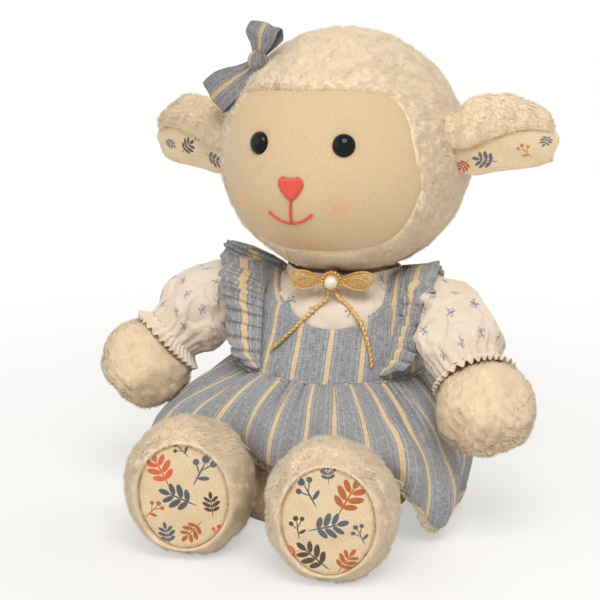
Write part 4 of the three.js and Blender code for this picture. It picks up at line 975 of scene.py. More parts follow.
def addLeg(side):
    way = sides[side]
    body = f"{side}_leg"
    hip = np.array([way * 36.0, -26.0, 27.5])
    ankle = feet[side] * (1, 1, 0) + (0, 0, 27.5)
    angles = turns(150)
    rounding = -0.24 + 0.24 * (1 - np.cos(np.linspace(0.1, np.pi / 2, 18)))
    s = np.concatenate([rounding, np.linspace(0.03, 0.86, 60)])
    rounded = 25.6 * np.sqrt(np.maximum(0.02, 1 - (s / 0.245) ** 2))
    radius = np.where(s < 0, rounded, 25.6 - 2.0 * smooth(0, 0.5, s))
    centres = hip + (ankle - hip) * s[:, None]
    thigh = tubePoints(centres, np.tile(unit(ankle - hip), (len(s), 1)), radius, radius, angles)
    thigh = swell(thigh, 0.4 * ripple(thigh, 8, 51) - 0.3, around=True)
    upper = paddedPiece(f"{side}ThighPlush", flattened(thigh), plushSkin, body, "plush", 0.8,
                        caps=(True, False))
    # The foot swells over the seam of its sole, then turns in to meet it.
    heel = -1 + 0.1 * (1 - np.cos(np.linspace(0.3, np.pi / 2, 14)))
    t = np.concatenate([heel, np.linspace(-0.88, 0.83, 90)])
    tt, aa = np.meshgrid(t, angles, indexing="ij")
    half = share(footShares, tt, 1)
    foot = footPoints(side, tt * footHalf[2], half * footHalf[0] * np.cos(aa),
                      half * footHalf[1] * np.sin(aa))
    plain = share(footShares, 0.84, 1)
    lip = np.linspace(0, 1, 40)[:, None]
    wide = plain * footHalf[0] * (1 - lip) + 28.2 * lip
    high = plain * footHalf[1] * (1 - lip) + 33.9 * lip
    depth = 0.84 * footHalf[2] + 4.9 * np.sin(0.68 * np.pi * lip) - 2.2 * smooth(0.85, 1, lip)
    rim = footPoints(side, depth, wide * np.cos(angles), high * np.sin(angles))
    foot = np.concatenate([foot, rim], 0)
    tufts = 0.2 * ripple(foot, 8, 52) + 0.6 * ripple(foot, 26, 53)
    fadeLip = np.concatenate([np.ones(len(t)), 1 - lip[:, 0]])[:, None]
    foot = swell(foot, tufts * fadeLip - 0.2, around=True)
    lower = paddedPiece(f"{side}FootPlush", flattened(foot), plushSkin, body, "plush", 0.9,
                        f"{side}_leg_cover", caps=(True, False))

    def furred(p):
        q = p - feet[side]
        ahead = q @ footAxis
        inSole = ((q @ footRight) / 29.0) ** 2 + (q[:, 2] / 34.6) ** 2 < 1
        return (~((ahead > 15) & inSole) * (p[:, 2] > 2.0)).astype(float)

    addFur(f"{side}FootFur", lower, body, 1.7, 3.4, furred, comb=(0, 0.6, -0.7), lean=1.25, seed=61 + way)
    shown = lambda p: ((p[:, 1] < -58) & (p[:, 2] > 2)).astype(float)
    addFur(f"{side}ThighFur", upper, body, 1.4, 3.0, shown, comb=(0, -1, 0), lean=1.3, seed=71 + way)
    # Sole: a smooth pad, crowned a little, its edge tucked under the plush.
    reach = np.concatenate([np.linspace(0.004, 0.94, 50), np.linspace(0.95, 1.0, 8)])
    rr, aa = np.meshgrid(reach, turns(160), indexing="ij")
    u, v = 29.5 * rr * np.cos(aa), 35.5 * rr * np.sin(aa)
    crown = 2.2 * (1 - rr**2) - 2.6 * smooth(0.88, 1.0, rr)
    pucker = 0.25 * np.sin(22 * aa) * smooth(0.6, 0.95, rr)
    points = footPoints(side, 26.0 + crown + pucker, u, v)
    points = points + footAxis * (0.35 * ripple(points, 16, 54))[..., None]
    paddedPiece(f"{side}SolePrint", points, solePrints[side], body, "print_cotton", 0.7, f"{side}_foot_sole",
                cloth=clothPlaces(u, v))
    centres = hip + (ankle - hip) * np.linspace(-0.16, 0.98, 30)[:, None]
    radius = 19.5 * np.sin(np.linspace(0.45, 2.6, 30)) ** 0.4
    inner = tubePoints(centres, np.tile(unit(ankle - hip), (30, 1)), radius, radius, angles[::3])
    paddedPiece(f"{side}LegFilling", inner, fibreFill, body, "fibre", 0.9, f"{side}_leg_stuffing")


solePrints = {
    "right": leafPrintMaterial("rightSoleMaterial", [
        ((-13, 17), 0.5, 12, "D9562F", 0), ((12, 19), -0.4, 12, "46566A", 1), ((-2, 0), 1.2, 12, "3D4A5C", 0),
        ((18, -4), 0.1, 8, "3A2C26", 0), ((-18, -8), -0.7, 8, "B4591C", 1), ((6, -21), 2.4, 9, "B4591C", 0),
        ((-10, -25), 0.2, 8, "46566A", 0), ((21, -22), -0.3, 7, "D9562F", 1), ((-1, 31), 0.9, 7, "3A2C26", 1),
    ]),
    "left": leafPrintMaterial("leftSoleMaterial", [
        ((12, 16), -0.5, 13, "B4591C", 0), ((-12, 19), 0.6, 11, "3D4A5C", 1),
        ((0, -2), -1.3, 12, "46566A", 0),
        ((-18, -3), 0.2, 8.5, "3A2C26", 1), ((19, -6), 0.5, 8, "46566A", 1),
        ((-8, -22), 0.9, 12, "3A2C26", 0),
        ((11, -24), -0.6, 9, "B4591C", 0), ((0, 31), 0.1, 7, "46566A", 0), ((-23, -20), 1.8, 7, "D9562F", 0),
    ]),
}
addTorso()
for side in sides:
    addLeg(side)
print("stage: torso and legs")

# Arms, sleeves and cuff frills
armPathShares = [[0, 0, 0], [0.2, 0.12, 0.02], [0.52, 0.4, 0.22], [0.8, 0.72, 0.62], [1, 1, 1]]
armShares = [
    [0, 0.6], [0.2, 0.64], [0.4, 0.62], [0.52, 0.55], [0.57, 0.61], [0.63, 0.82],
    [0.69, 0.95], [0.76, 1], [0.84, 0.95], [0.91, 0.78], [0.97, 0.45], [1.0, 0.04],
]
sleeveShares = [[0.006, 0.84], [0.08, 0.92], [0.2, 1], [0.33, 1.09], [0.44, 1.03], [0.5, 0.85], [0.54, 0.76]]
armSizes = {"left": (111.0, 50.0), "right": (121.0, 32.0)}


def armPath(side):
    reach, forward = armSizes[side]
    way = sides[side]
    start = spine(np.array(shoulderHeight)) + (way * shoulderSide, 0, 0)
    path = [start + (way * out * (reach - 52), -ahead * forward, -down * 41)
            for out, ahead, down in armPathShares]
    path.append(path[-1] + unit(path[-1] - path[-2]) * 35)
    return path


def addArm(side):
    body, way = f"{side}_arm", sides[side]
    path = armPath(side)
    paw = 0.93 + 0.048 * np.sin(np.linspace(0.08, np.pi / 2, 24))
    s = np.concatenate([np.linspace(0.004, 0.93, 110), paw])
    centres, ahead = evenly(path, s)
    radius = pawRadius * share(armShares, s, 1)
    tail = smooth(0.9, 0.978, s)
    rounded = pawRadius * 0.8 * np.sqrt(np.maximum(0.001, 1 - ((s - 0.9) / 0.079) ** 2))
    radius = np.where(s > 0.9, rounded, radius)
    angles = turns(150)
    arm = tubePoints(centres, ahead, radius, radius * 0.97, angles)
    tufts = 0.2 * ripple(arm, 8, 81) + 0.7 * ripple(arm, 26, 82)
    crease = np.exp(-((angles - 4.45) / 0.13) ** 2) * smooth(0.7, 0.86, s)[:, None] * (1 - tail[:, None])
    arm = swell(arm, tufts * smooth(0.5, 0.6, s)[:, None] - 1.8 * crease - 0.3, around=True)
    piece = paddedPiece(f"{side}ArmPlush", arm, plushSkin, body, "plush", 0.85, f"{side}_arm_cover")
    at = np.searchsorted(s, 0.575)
    wrist, onward = centres[at], ahead[at]
    beyond = lambda p: ((p - wrist) @ onward > 0).astype(float)
    addFur(f"{side}PawFur", piece, body, 1.7, 3.5, beyond, comb=(0.1 * way, 0.5, 1), lean=1.5,
           seed=91 + way)
    s = np.linspace(0.03, 0.93, 40)
    radius = pawRadius * share(armShares, s, 1) - 6.5
    core = tubePoints(*evenly(path, s), radius, radius, angles[::4])
    paddedPiece(f"{side}ArmFilling", core, fibreFill, body, "fibre", 0.85, f"{side}_arm_stuffing")
    # Sleeve: full in the middle, gathered at the shoulder and the wrist, creased along the arm.
    s = np.linspace(0.008, 0.545, 72)
    centres, ahead = evenly(path, s)
    centres[:, 2] += 4.0 * smooth(0.56, 0.3, s) * (0.6 + 0.4 * smooth(0, 0.15, s))
    turn = np.linspace(-0.5 * np.pi, 1.5 * np.pi, 129)
    radius = 24.8 * share(sleeveShares, s, 1)
    tube = tubePoints(centres, ahead, radius, radius, turn)
    shoulderGather = smooth(0.14, 0.0, s)[:, None] * np.sin(18 * turn + 1.5 * np.sin(3 * turn))
    wristGather = smooth(0.42, 0.53, s)[:, None] * np.sin(22 * turn + 1.2 * np.sin(5 * turn))
    folds = 0.7 * ripple(tube * (0.7, 1, 0.7), 20, 101 + way) * smooth(0.02, 0.12, s)[:, None]
    sleeve = swell(tube, 0.5 * shoulderGather + 0.9 * wristGather + folds + 0.2)
    v, u = np.meshgrid(turn * 29, s * 150)
    cloth = gridPiece(f"{side}SleeveCotton", sleeve, blouseCotton, body, clothPlaces(u, v + 400 * (way > 0)))
    held = np.zeros(sleeve.shape[:2], bool)
    held[:3] = held[-5:] = held[:, 0] = held[:, -1] = True
    puffed(cloth, np.flatnonzero(held), 3.0, 16, 3.0)
    fine = cloth.modifiers.new("fine", "SUBSURF")
    fine.levels = fine.render_levels = 1
    thicken(cloth, 0.7)
    dressed(cloth, "blouse_cotton", f"{side}_sleeve")
    # Sewn shoulder: the blouse runs out round the joint to the sleeve's seam.
    start = path[0]
    run = np.array([1.6, 0.4, -3, -7, -11, -15, -19])
    radius = np.array([20.9, 20.9, 20.8, 20.2, 19.0, 17.2, 14.8])
    centres = start + np.outer(run, (way, 0, 0)) + (0, 0, 2.4)
    cone = tubePoints(centres, np.tile([float(way), 0, 0], (7, 1)), radius, radius, turn)
    v, u = np.meshgrid(turn * 24, run)
    seam = gridPiece(f"{side}ShoulderCotton", cone, blouseCotton, "torso", clothPlaces(u, v + 200), thick=0.7)
    # Frill: the gathered cotton beyond the wrist's elastic.
    s = np.linspace(0.538, 0.602, 24)
    centres, ahead = evenly(path, s)
    out = np.linspace(0, 1, 24)
    turn = np.linspace(0, 2 * np.pi, 361)
    radius = pawRadius * share(armShares, s, 1) + 1.2 + 3.4 * out
    tube = tubePoints(centres, ahead, radius, radius, turn)
    waves = np.sin(33 * turn + 2.4 * np.sin(4 * turn)) * (0.3 + 1.3 * out[:, None])
    frill = swell(tube, waves)
    v, u = np.meshgrid(turn * 29, out * 9)
    edge = gridPiece(f"{side}CuffFrill", frill, cuffCotton, body, clothPlaces(u, v), thick=0.5)
    dressed(edge, "lace", f"{side}_sleeve_cuff")


cuffCotton = plainNoiseMaterial("cuffCottonMaterial", "F2E6D8", "E5D5C0", 1.4, 0.35, Roughness=0.85)
for side in sides:
    addArm(side)
print("stage: arms")


# Blouse body with its band collar
def addBlouse():
    around = np.linspace(-np.pi / 2, 1.5 * np.pi, 289) + np.pi
    heights = np.concatenate([np.linspace(93, neckHeight - 1, 84), neckHeight + np.linspace(-0.6, 4.2, 14)])
    points = ringPoints(heights, blouseOut - 0.9 + 0 * heights, around)
    collar = heights >= neckHeight - 0.7
    c = spine(np.array(neckHeight))
    ring = np.stack([c[0] + collarRadius * np.cos(around), c[1] + collarRadius * np.sin(around)], -1)
    points[collar, :, :2] = ring
    raised = np.maximum(0, heights - neckHeight)[:, None] * smooth(0.45, -0.3, np.sin(around))
    points[..., 2] += raised * 0.75
    folds = 0.5 * ripple(points, 18, 111) + 0.25 * ripple(points, 7, 112)
    puckers = 0.35 * np.sin(48 * around)[None, :] * np.exp(-((heights[:, None] - neckHeight + 3) / 6) ** 2)
    points = swell(points, folds * 0.8 + puckers)
    v, u = np.meshgrid(around * 50, heights)
    shirt = gridPiece("blouseCotton", points, blouseCotton, "torso", clothPlaces(u, v + 90), thick=0.7)
    dressed(shirt, "blouse_cotton", "blouse_body")


# A point on the dress over the torso at a height, side offset and front to back share.
def dressPoint(height, offset, facing, grow):
    wide, deep = torsoHalves(np.minimum(height, neckHeight))
    across = np.clip(offset / (wide + grow), -1, 1)
    depth = facing * (deep + grow) * np.sqrt(1 - across**2)
    return spine(height) + np.stack([across * (wide + grow), depth, 0 * depth], -1)


# Lifts the pinafore's cloth clear of the blouse's sewn shoulder and the sleeve's head.
def overShoulder(side, points):
    start = spine(np.array(shoulderHeight)) + (sides[side] * shoulderSide, 0, 2.4)
    out = (points[..., 0] - start[0]) * sides[side]
    clear = np.interp(out, [-22, -15, -9, -3, 2, 12, 30], [14, 18.6, 22.2, 24.6, 26.2, 29.6, 32.5])
    reach = np.maximum(np.hypot(points[..., 1] - start[1], points[..., 2] - start[2]), 1)
    push = np.maximum(0, clear - reach) / reach * smooth(-24, -14, out)
    moves = (points - start) * push[..., None]
    moves[..., 0] = 0
    return points + moves


# Moves cloth out of the sleeve that it would pass through, to rest on its outside.
def clearOfSleeve(side, points, gap):
    there, normal = surfaceOf(bpy.data.objects[f"{side}SleeveCotton"].data, np.float32)
    normal = normal * np.sign(np.sum(normal * (there - there.mean(0))))
    flat = points.reshape(-1, 3).astype(np.float32)
    near = np.concatenate([np.argmin(np.sum(there**2, 1) - 2 * part @ there.T, axis=1)
                           for part in np.array_split(flat, 12)])
    depth = np.sum((flat - there[near]) * normal[near], 1, keepdims=True)
    close = smooth(16, 10, np.linalg.norm(flat - there[near], axis=1, keepdims=True))
    return (flat + normal[near] * np.maximum(0, gap - depth) * close).reshape(points.shape).astype(float)


# A strap's line over the shoulder, in a plane of the pinafore's own front view.
def strapLine(offset, way):
    depth = np.linspace(-75, 75, 500)
    grow = dressOut - 1.0
    slant = 5 if way > 0 else 9
    low, high = np.full(500, bodiceTop - 3), np.full(500, neckHeight + grow)
    for _ in range(24):
        height = (low + high) / 2
        slanted = offset + way * (3 + (slant - 3) * smooth(bodiceTop - 2, bodiceTop + 9, height))
        p = moved(np.stack([slanted, depth, height], 1), dressMatrix)
        wide, deep = torsoHalves(height)
        c = spine(height)
        outside = ((p[:, 0] - c[:, 0]) / (wide + grow)) ** 2 + ((p[:, 1] - c[:, 1]) / (deep + grow)) ** 2 > 1
        low, high = np.where(outside, low, height), np.where(outside, height, high)
    kept = p[height > bodiceTop - 2.9]
    run = arcLength(kept)
    line = np.stack([np.interp(np.linspace(0, run[-1], 90), run, kept[:, k]) for k in range(3)], 1)
    collar = spine(np.array(neckHeight))[:2]
    away = line[:, :2] - collar
    reach = np.linalg.norm(away, axis=1, keepdims=True)
    push = smooth(neckHeight - 6, neckHeight - 1, line[:, 2:])
    line[:, :2] += push * away / reach * np.maximum(0, 37.4 - reach)
    return line


def addBodice():
    around = np.linspace(np.pi / 2, 2.5 * np.pi, 385)
    seam = ringPoints(np.array([bodiceTop - 8, shoulderHeight - 18]), dressOut + np.zeros(2), around)
    x = moved(seam[0], dressInverse)[:, 0] - dressCentre
    y = seam[1, :, 1] - spine(np.array(shoulderHeight))[1]
    neckline = np.where(np.abs(x) < 32, bodiceTop - 14 * (1 - np.abs(x / 32) ** 2.4), bodiceTop)
    armhole = np.where(np.abs(y) < 24.9, shoulderHeight - np.sqrt(np.maximum(0, 25**2 - y**2)), 200)
    top = np.minimum(neckline, armhole)
    top = np.convolve(np.concatenate([top[-4:-1], top, top[1:4]]), np.ones(7) / 7, "valid")
    down = np.linspace(0, 1, 54)[:, None]
    heights = waistHeight - 0.6 + (top - waistHeight) * down
    wide, deep = torsoHalves(heights)
    c = spine(heights)
    grow = dressOut - 0.7
    points = np.stack([c[..., 0] + (wide + grow) * np.cos(around), c[..., 1] + (deep + grow) * np.sin(around),
                       heights], -1)
    gathers = 0.35 * np.sin(70 * around) * smooth(0.16, 0, down)
    folds = 0.5 * ripple(points, 24, 121) * smooth(0, 0.2, down) + gathers
    hem = -0.5 * np.exp(-((1 - down) / 0.03) ** 2) + 0.5 * np.exp(-((1 - down - 0.06) / 0.035) ** 2)
    points = swell(points, folds * 0.8 + hem * 0.6)
    u = 58 * (around - 1.5 * np.pi - dressTurn) + 0 * down
    bodice = gridPiece("pinaforeBodice", points, stripes, "torso", clothPlaces(u + 10.5, heights), thick=1.0)
    dressed(bodice, "striped_cotton", "dress_bodice")
    for side, way in sides.items():
        w = np.linspace(0, 1, 16)
        columns = [strapLine(dressCentre + way * (29 + 13 * k), way) for k in w]
        strap = np.stack(columns, 1) + upward * (0.3 * np.sin(np.pi * w))[None, :, None]
        strap = clearOfSleeve(side, overShoulder(side, strap), 1.0)
        run = np.linspace(0, 78, 90)[:, None] + 0 * w
        w = w[None, :] + 0 * run
        cloth = clothPlaces(13 * w + (3.5 if way > 0 else 6.9), run)
        piece = gridPiece(f"{side}Strap", strap, stripes, "torso", cloth, thick=0.9)
        dressed(piece, "striped_cotton", f"{side}_strap")


# Each ruffle's reach at the waist, more over the shoulder, forward reach low and high, inset and rise.
ruffleShape = {"left": (1.2, -0.02, 0.9, 1.0, 8.0, 2.0), "right": (1.2, 0.6, 0.3, 0.1, 0.0, 13.0)}


def ruffleRoot(side, t):
    up = 1 - np.minimum(1, np.abs(t)) ** 3
    height = 99.75 + (neckHeight + dressOut + 0.7 - 99.75) * up
    offset = 42 - ruffleShape[side][4] * (1 - up) + 5 * up
    return dressPoint(height, sides[side] * offset, np.clip(t * 2.5, -1, 1), dressOut + 0.6)


def addRuffle(side):
    way = sides[side]
    outShare, shoulderShare, aheadShare, upperAhead, _, high = ruffleShape[side]
    t = np.linspace(-1, 1, 560)
    up = 1 - np.abs(t) ** 3
    root = ruffleRoot(side, t)
    width = (15 + 3 * up) * 1.04
    ahead = t * aheadShare * (1 - up**2) - upperAhead * np.exp(-((t + 0.36) / 0.32) ** 2)
    rise = high * (up if way < 0 else smooth(0.92, 0.4, np.abs(t)))
    outward = np.stack([way * width * (outShare + shoulderShare * up**2), width * ahead, rise], 1)
    along = ruffleRoot(side, np.clip(t + 0.02, -1, 1)) - ruffleRoot(side, np.clip(t - 0.02, -1, 1))
    face = unit(np.cross(outward, along))
    even = np.ones(13) / 13
    face = unit(np.stack([np.convolve(np.pad(face[:, k], 6, "edge"), even, "valid") for k in range(3)], 1))
    run = arcLength(root)
    reach = np.linspace(0, 1, 26)[None, :]
    beat = run / 6.6 + 0.22 * np.sin(run / 7.0)
    part = beat % 1
    pleat = 2 * np.where(part < 0.8, (part / 0.8) ** 1.2, 1 - smooth(0.8, 1, part)) - 1
    fold = 0.7 + pleat[:, None] * (0.7 + 1.7 * reach) + 1.6 * np.sin(1.7 * beat + 1)[:, None] * reach**1.5
    ends = smooth(0, 0.06, 1 - np.abs(t))[:, None] * 0.75 + 0.25
    hem = 1 + 0.05 * np.sin(2.3 * beat + 0.7)[:, None] + 0.02 * pleat[:, None]
    points = root[:, None] + outward[:, None] * (reach * ends * hem)[..., None]
    points = points + face[:, None] * (fold * ends)[..., None]
    sway = np.cos(2 * np.pi * beat)[:, None] * 0.9 * reach
    points = points + unit(along)[:, None] * sway[..., None]
    v, u = np.meshgrid(reach[0] * 18, run * 1.5)
    cloth = clothPlaces(v + (1.5 if way < 0 else 2.5), u)
    points = clearOfSleeve(side, overShoulder(side, moved(points, dressMatrix)) + (0, 0, 0.3), 1.6)
    piece = gridPiece(f"{side}Ruffle", points, stripes, "torso", cloth, thick=0.9)
    dressed(piece, "striped_cotton", f"{side}_ruffle")


# Skirt: gathered at the waist, bulging over the thighs, with a lace edge
skirtHalfWidth, skirtHalfDepth, skirtLift = 98.0, 84.0, 58.0
hemShares = [
    [0.02, -0.95, 0.93, 1.15], [0.42, -0.92, 1.06, 1.2], [0.86, -0.86, 0.8, 1.25],
    [0.99, -0.58, 0.24, 1.5], [1, -0.12, 0.19, 1.6], [0.92, 0.4, 0.19, 1.6],
    [0.6, 0.8, 0.19, 1.5], [0.08, 0.95, 0.19, 1.45], [-0.46, 0.83, 0.19, 1.5],
    [-0.86, 0.43, 0.19, 1.6], [-1, -0.08, 0.19, 1.6], [-0.98, -0.48, 0.24, 1.5],
    [-0.84, -0.74, 0.76, 1.25], [-0.42, -0.8, 1.06, 1.2],
]


def skirtPoints(around, down):
    plan = curveThrough([[r[0], r[1], 0] for r in hemShares], True, around)
    rise = curveThrough([[r[2], r[3], 0] for r in hemShares], True, around)
    hem = np.stack([plan[:, 0] * skirtHalfWidth, plan[:, 1] * skirtHalfDepth, rise[:, 0] * skirtLift], 1)
    middle = spine(np.array(waistHeight))
    wide, deep = torsoHalves(np.array(waistHeight))
    bearing = np.arctan2((hem[:, 1] - middle[1]) / deep, (hem[:, 0] - middle[0]) / wide)
    grow = dressOut + 0.35
    waist = middle + np.stack([(wide + grow) * np.cos(bearing), (deep + grow) * np.sin(bearing),
                               0 * bearing], 1)
    bulge = waist + (hem - waist) * rise[:, 1:2]
    bulge[:, 2] = hem[:, 2] + (waistHeight - hem[:, 2]) * 0.52
    d = down[:, None, None]
    points = (1 - d) ** 2 * waist + 2 * (1 - d) * d * bulge + d**2 * hem
    outward = np.stack([np.cos(bearing), np.sin(bearing), 0 * bearing], 1)
    return points, outward, hem


def hemWaves(around):
    slow = np.cos(2 * np.pi * 12 * around + 0.9 * np.sin(4 * np.pi * around))
    return 2.6 * slow + 1.6 * np.sin(2 * np.pi * 19 * around + 2 * np.sin(4 * np.pi * around))


def addSkirt():
    around = np.linspace(0, 1, 721) + 0.5
    down = np.linspace(0, 1, 65)
    points, outward, hem = skirtPoints(around, down)
    run = arcLength(hem[:, :2])
    d = down[:, None]
    broad = hemWaves(around)
    pleat = (np.pi * 34 * around + 1.7 * np.sin(2 * np.pi * 5 * around)
             + 1.1 * np.sin(2 * np.pi * 13 * around + 1))
    deep = 0.75 + 0.45 * np.sin(2 * np.pi * 9 * around + 2)
    crease = 0.9 - 3.6 * deep * (1 - np.abs(np.sin(pleat))) ** 2.2
    fine = np.sin(2 * np.pi * 71 * around + 2.2 * np.sin(2 * np.pi * 7 * around))
    gather = crease * smooth(0.5, 0.02, d) * smooth(0, 0.03, d + 0.012) + 0.35 * fine * smooth(0.2, 0.0, d)
    tilt = 1.1 * ripple(points * (1, 1, 0.6), 30, 131) * smooth(0.1, 0.4, d)
    amount = broad * d**0.9 * 0.95 + gather + tilt
    lift = -1.2 * smooth(0.02, 0.0, d)
    points = swell(points, amount + lift)
    u = run - run[-1] / 2 + 0 * d
    cloth = clothPlaces(u + stripePitch / 2, 100 * (1 - d) + 0 * u)
    skirt = gridPiece("pinaforeSkirt", points, stripes, "torso", cloth, thick=0.9)
    dressed(skirt, "striped_cotton", "skirt")
    # Waist seam: a narrow rolled cord of the same cloth.
    ring, away, _ = skirtPoints(around[::2], np.array([0.0]))
    ring = ring[0] + away * 0.3
    angles = turns(10)
    tube = tubePoints(ring, unit(np.gradient(ring, axis=0)), 0.9 + 0 * ring[:, 0], 1.0 + 0 * ring[:, 0],
                      angles)
    v, u = np.meshgrid(angles, run[::2] * 0.8)
    seam = gridPiece("waistSeam", tube, stripes, "torso", clothPlaces(u, v), around=True)
    # Lace: small eyelets in rows and a scalloped edge, cut as real holes.
    around = np.linspace(0, 1, 1701) + 0.5
    edge, outward, hem = skirtPoints(around, np.array([0.99, 1.0]))
    run = arcLength(hem[:, :2])
    step = unit(edge[1] - edge[0])
    broad = hemWaves(around)
    base = edge[1] + outward * (broad * 0.95)[:, None]
    reach = np.linspace(-2.2, 8.2, 26)
    scallop = 0.8 + 0.2 * np.abs(np.cos(np.pi * run / 6.0))
    shown = reach[:, None] * np.where(reach[:, None] > 3, scallop, 1)
    wave = 0.5 * np.sin(run / 3.1)[None, :] * smooth(0, 8, reach)[:, None]
    lacePoints = base + step * shown[..., None] + outward * (wave - 0.2)[..., None]
    mid = 0.5 * (run[1:] + run[:-1])[None, :]
    row = 0.5 * (reach[1:] + reach[:-1])[:, None]
    eyelet = np.sin(2 * np.pi * mid / 3.0) * np.sin(2 * np.pi * (row + 0.3) / 2.6) > 0.32
    away = (mid % 6.0 - 3.0) ** 2 + (row - 5.2) ** 2
    keep = ~(eyelet & (away > 3.4) & (row > 0.7)) & (away >= 1.5)
    lace = gridPiece("hemLace", lacePoints, laceThread, "torso", keep=keep, thick=0.55)
    dressed(lace, "lace", "skirt_lace")


addBlouse()
addBodice()
for side in sides:
    addRuffle(side)
addSkirt()
print("stage: clothes")

# Hair bow: two folded loops of the dress cloth and a knot
hairKnot = np.array([-43.0, -30.0, headRise + 58])
hairAway = unit(hairKnot - (0, 0, headRise))
hairMiddle = hairKnot + hairAway * 3.5


def addHairLoop(name, node, direction, length, spread):
    way = unit(np.array(direction, float))
    across = unit(np.cross((-0.2, -1, 0.1), way))
    thin = unit(np.cross(way, across))
    t = np.linspace(0, 1, 120)
    # Out along the front layer, round the end and back along the other one.
    outAlong = 3.0 + length * np.sin(np.pi * np.clip(t, 0, 1)) ** 0.8
    layer = 4.4 * np.cos(np.pi * t) * smooth(0, 0.25, np.minimum(t, 1 - t)) + 0.9 * np.cos(np.pi * t)
    w = np.linspace(-1, 1, 44)
    half = 4.0 + (spread - 4.0) * smooth(0.0, 0.7, (outAlong - 3) / length)
    pucker = 0.9 * np.sin(w[None, :] * 9) * smooth(0.55, 0.0, (outAlong - 3) / length)[:, None]
    notch = 1.6 * np.abs(w) * smooth(0.5, 1, outAlong / (length + 3))[:, None]
    points = (hairMiddle + way * (outAlong[:, None] - notch)[..., None]
              + across * (w * half[:, None])[..., None] + thin * (layer[:, None] + pucker)[..., None])
    world = moved(points, headMatrix)
    world = swell(world, 0.35 * ripple(world, 12, 141))
    v, u = np.meshgrid(w * spread, arcLength(points[:, 22]))
    piece = gridPiece(name, world, paintedShadeBowStripes, "head", clothPlaces(v + stripePitch / 2, u), thick=0.8)
    dressed(piece, "striped_cotton", node)


def addHairBow():
    addHairLoop("hairBowUpperLoop", "hair_bow_upper_loop", (0.22, 0.12, 0.95), 22.0, 12.0)
    addHairLoop("hairBowLowerLoop", "hair_bow_lower_loop", (-0.8, -0.16, -0.62), 37.0, 12.0)
    a, b = np.meshgrid(np.linspace(0.12, np.pi - 0.12, 40), np.linspace(0, 2 * np.pi, 61), indexing="ij")
    r = 6.6 + 0.5 * np.sin(7 * b + 2 * np.sin(a))
    across = r * np.sin(a)
    points = hairMiddle + np.stack([across * np.cos(b), 0.9 * across * np.sin(b), 1.05 * r * np.cos(a)], -1)
    cloth = clothPlaces(b * 6.6 + 6, a * 6.6)
    knot = gridPiece("hairBowKnot", moved(points, headMatrix), paintedShadeBowStripes, "head", cloth, caps=(True, True))
    dressed(knot, "striped_cotton", "hair_bow_knot")


# Neck bow: looped gold ribbon, a beaded ring with a pearl, and two braided tails
tailRoutes = {
    "right": [(18.1, -24.6, 152.9), (17, -25.3, 148.5), (10, -27.6, 141.5), (3, -31.1, 134.5), (-4, -33, 127),
              (-11, -33.7, 120), (-18.3, -33, 113)],
    "left": [(21.9, -24.2, 152.6), (24.5, -23.9, 149), (31, -23.2, 143.5), (38, -24.9, 136.5),
             (43, -26.1, 127), (46.5, -26.7, 116), (48, -27.3, 106)],
}

# Reach, half height, tilt and forward shift of the bow's loops.
bowLoops = [(21.5, 6.2, 0.1, 0.0), (18.5, 4.4, -0.1, 1.4), (15.0, 3.2, 0.22, -1.2)]


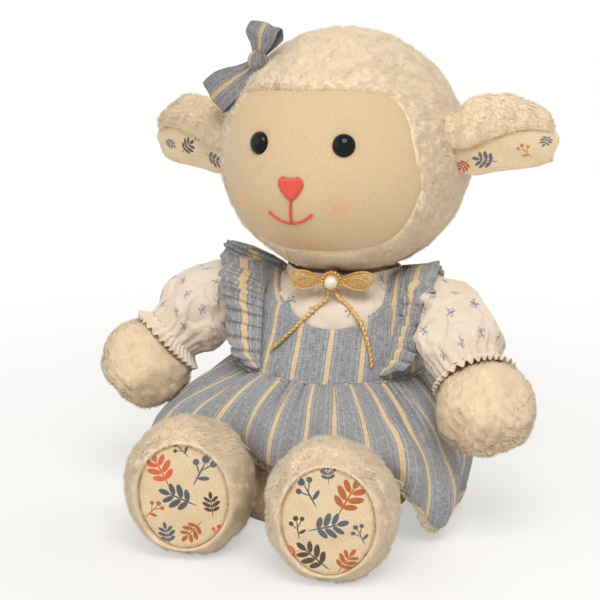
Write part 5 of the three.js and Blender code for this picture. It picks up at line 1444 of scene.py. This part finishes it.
def addNeckBow():
    facing = np.array([math.sin(dressTurn), -math.cos(dressTurn), 0])
    level = np.array([math.cos(dressTurn), math.sin(dressTurn), 0])
    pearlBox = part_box("neck_pearl")
    pearlAt = (np.array(pearlBox[0]) + np.array(pearlBox[1])) * 500
    a, b = np.meshgrid(np.linspace(0.06, np.pi - 0.06, 30), turns(48), indexing="ij")
    ball = lambda c, r: c + r * np.stack([np.sin(a) * np.cos(b), np.sin(a) * np.sin(b), np.cos(a)], -1)
    pearl = gridPiece("neckPearl", ball(pearlAt, 4.4), pearlGloss, "torso", around=True, caps=(True, True))
    dressed(pearl, "pearl_bead", "neck_pearl")
    back = pearlAt - facing * 5.0
    # Rosette: a disc with a ring of small gold beads.
    small = ball(np.zeros(3), 1.15)[::3, ::6]
    quads = gridQuads(*small.shape[:2], True).reshape(-1, 4)[:, ::-1]
    small = small.reshape(-1, 3)
    turn = turns(16)[:, None]
    centres = back + facing * 1.6 + 5.7 * (np.cos(turn) * level + np.sin(turn) * upward)
    faces = np.concatenate([quads + number * len(small) for number in range(16)]).tolist()
    beads = meshPiece("neckBeadRing", (centres[:, None] + small).reshape(-1, 3), faces, goldEdge, "torso")
    radius = np.array([0.4, 3.5, 5.6, 6.4, 6.4, 5.2, 0.4])
    depth = np.array([1.8, 1.9, 1.3, 0.4, -1.2, -7.5, -7.6])
    turn = turns(48)
    wavy = radius[:, None] * (1 + 0.05 * np.sin(12 * turn))
    disc = (back + depth[:, None, None] * facing + (wavy * np.cos(turn))[..., None] * level
            + (wavy * np.sin(turn))[..., None] * upward)
    u = np.broadcast_to(turn * 6, disc.shape[:2])
    cloth = clothPlaces(u, radius[:, None] + 0 * u)
    knot = gridPiece("neckBowKnot", disc, gold, "torso", cloth, around=True, caps=(True, True))
    dressed(knot, "gold_cord", "neck_bow_knot")
    for side, way in sides.items():
        for number, (reach, height, tilt, out) in enumerate(bowLoops):
            t = np.linspace(0.03, 2 * np.pi - 0.03, 120)
            along = 5.5 + reach * 0.5 * (1 - np.cos(t))
            across = height * np.sin(t) * np.sin(t / 2) ** 0.6
            path = (back + level * way * along[:, None] + upward * (across + (along - 5.5) * tilt)[:, None]
                    + facing * (out + 1.2 * np.sin(t / 2))[:, None])
            ahead = unit(np.gradient(path, axis=0))
            tube = tubePoints(path, ahead, 0.55 + 0 * t, 1.0 + 0 * t, turns(8), facing)
            u = np.broadcast_to(np.linspace(0, 60, 120)[:, None], tube.shape[:2])
            name = f"{side}BowLoop{number}"
            edge = gridPiece(name, tube, goldEdge, "torso", clothPlaces(u, 0 * u), around=True,
                             caps=(True, True))
            dressed(edge, "gold_cord", *([f"neck_bow_{side}_loop"] if number == 0 else []))
            # Ribbon between the loop's edges: fine parallel threads with air between them.
            if number < 2:
                half = 60
                top, bottom = path[:half], path[::-1][:half]
                w = np.linspace(0, 1, 29)[None, :, None]
                web = top[:, None] * (1 - w) + bottom[:, None] * w + facing * (0.6 * np.sin(np.pi * w))
                keep = (np.arange(28) % 2 == 0) | (np.arange(half - 1) % 6 == 0)[:, None]
                net = gridPiece(f"{side}BowNet{number}", web, gold, "torso",
                                clothPlaces(web[..., 2], web[..., 0]), keep=keep, thick=0.25)
    for side, route in tailRoutes.items():
        s = np.linspace(0, 1, 150)
        run = arcLength(curveThrough(route, False, s))
        path, ahead = evenly(route, s)
        angles, u = np.meshgrid(turns(20), s * run[-1])
        braid = 1.18 + 0.22 * np.sin(2 * angles + u * 2 * np.pi / 3.4)
        points = tubePoints(path, ahead, braid, braid, turns(20))
        tail = gridPiece(f"{side}BowTail", points, goldEdge, "torso", clothPlaces(u, 0 * u), around=True,
                         caps=(True, True))
        dressed(tail, "gold_cord", f"neck_bow_{side}_tail")


addHairBow()
addNeckBow()
print("stage: bows")
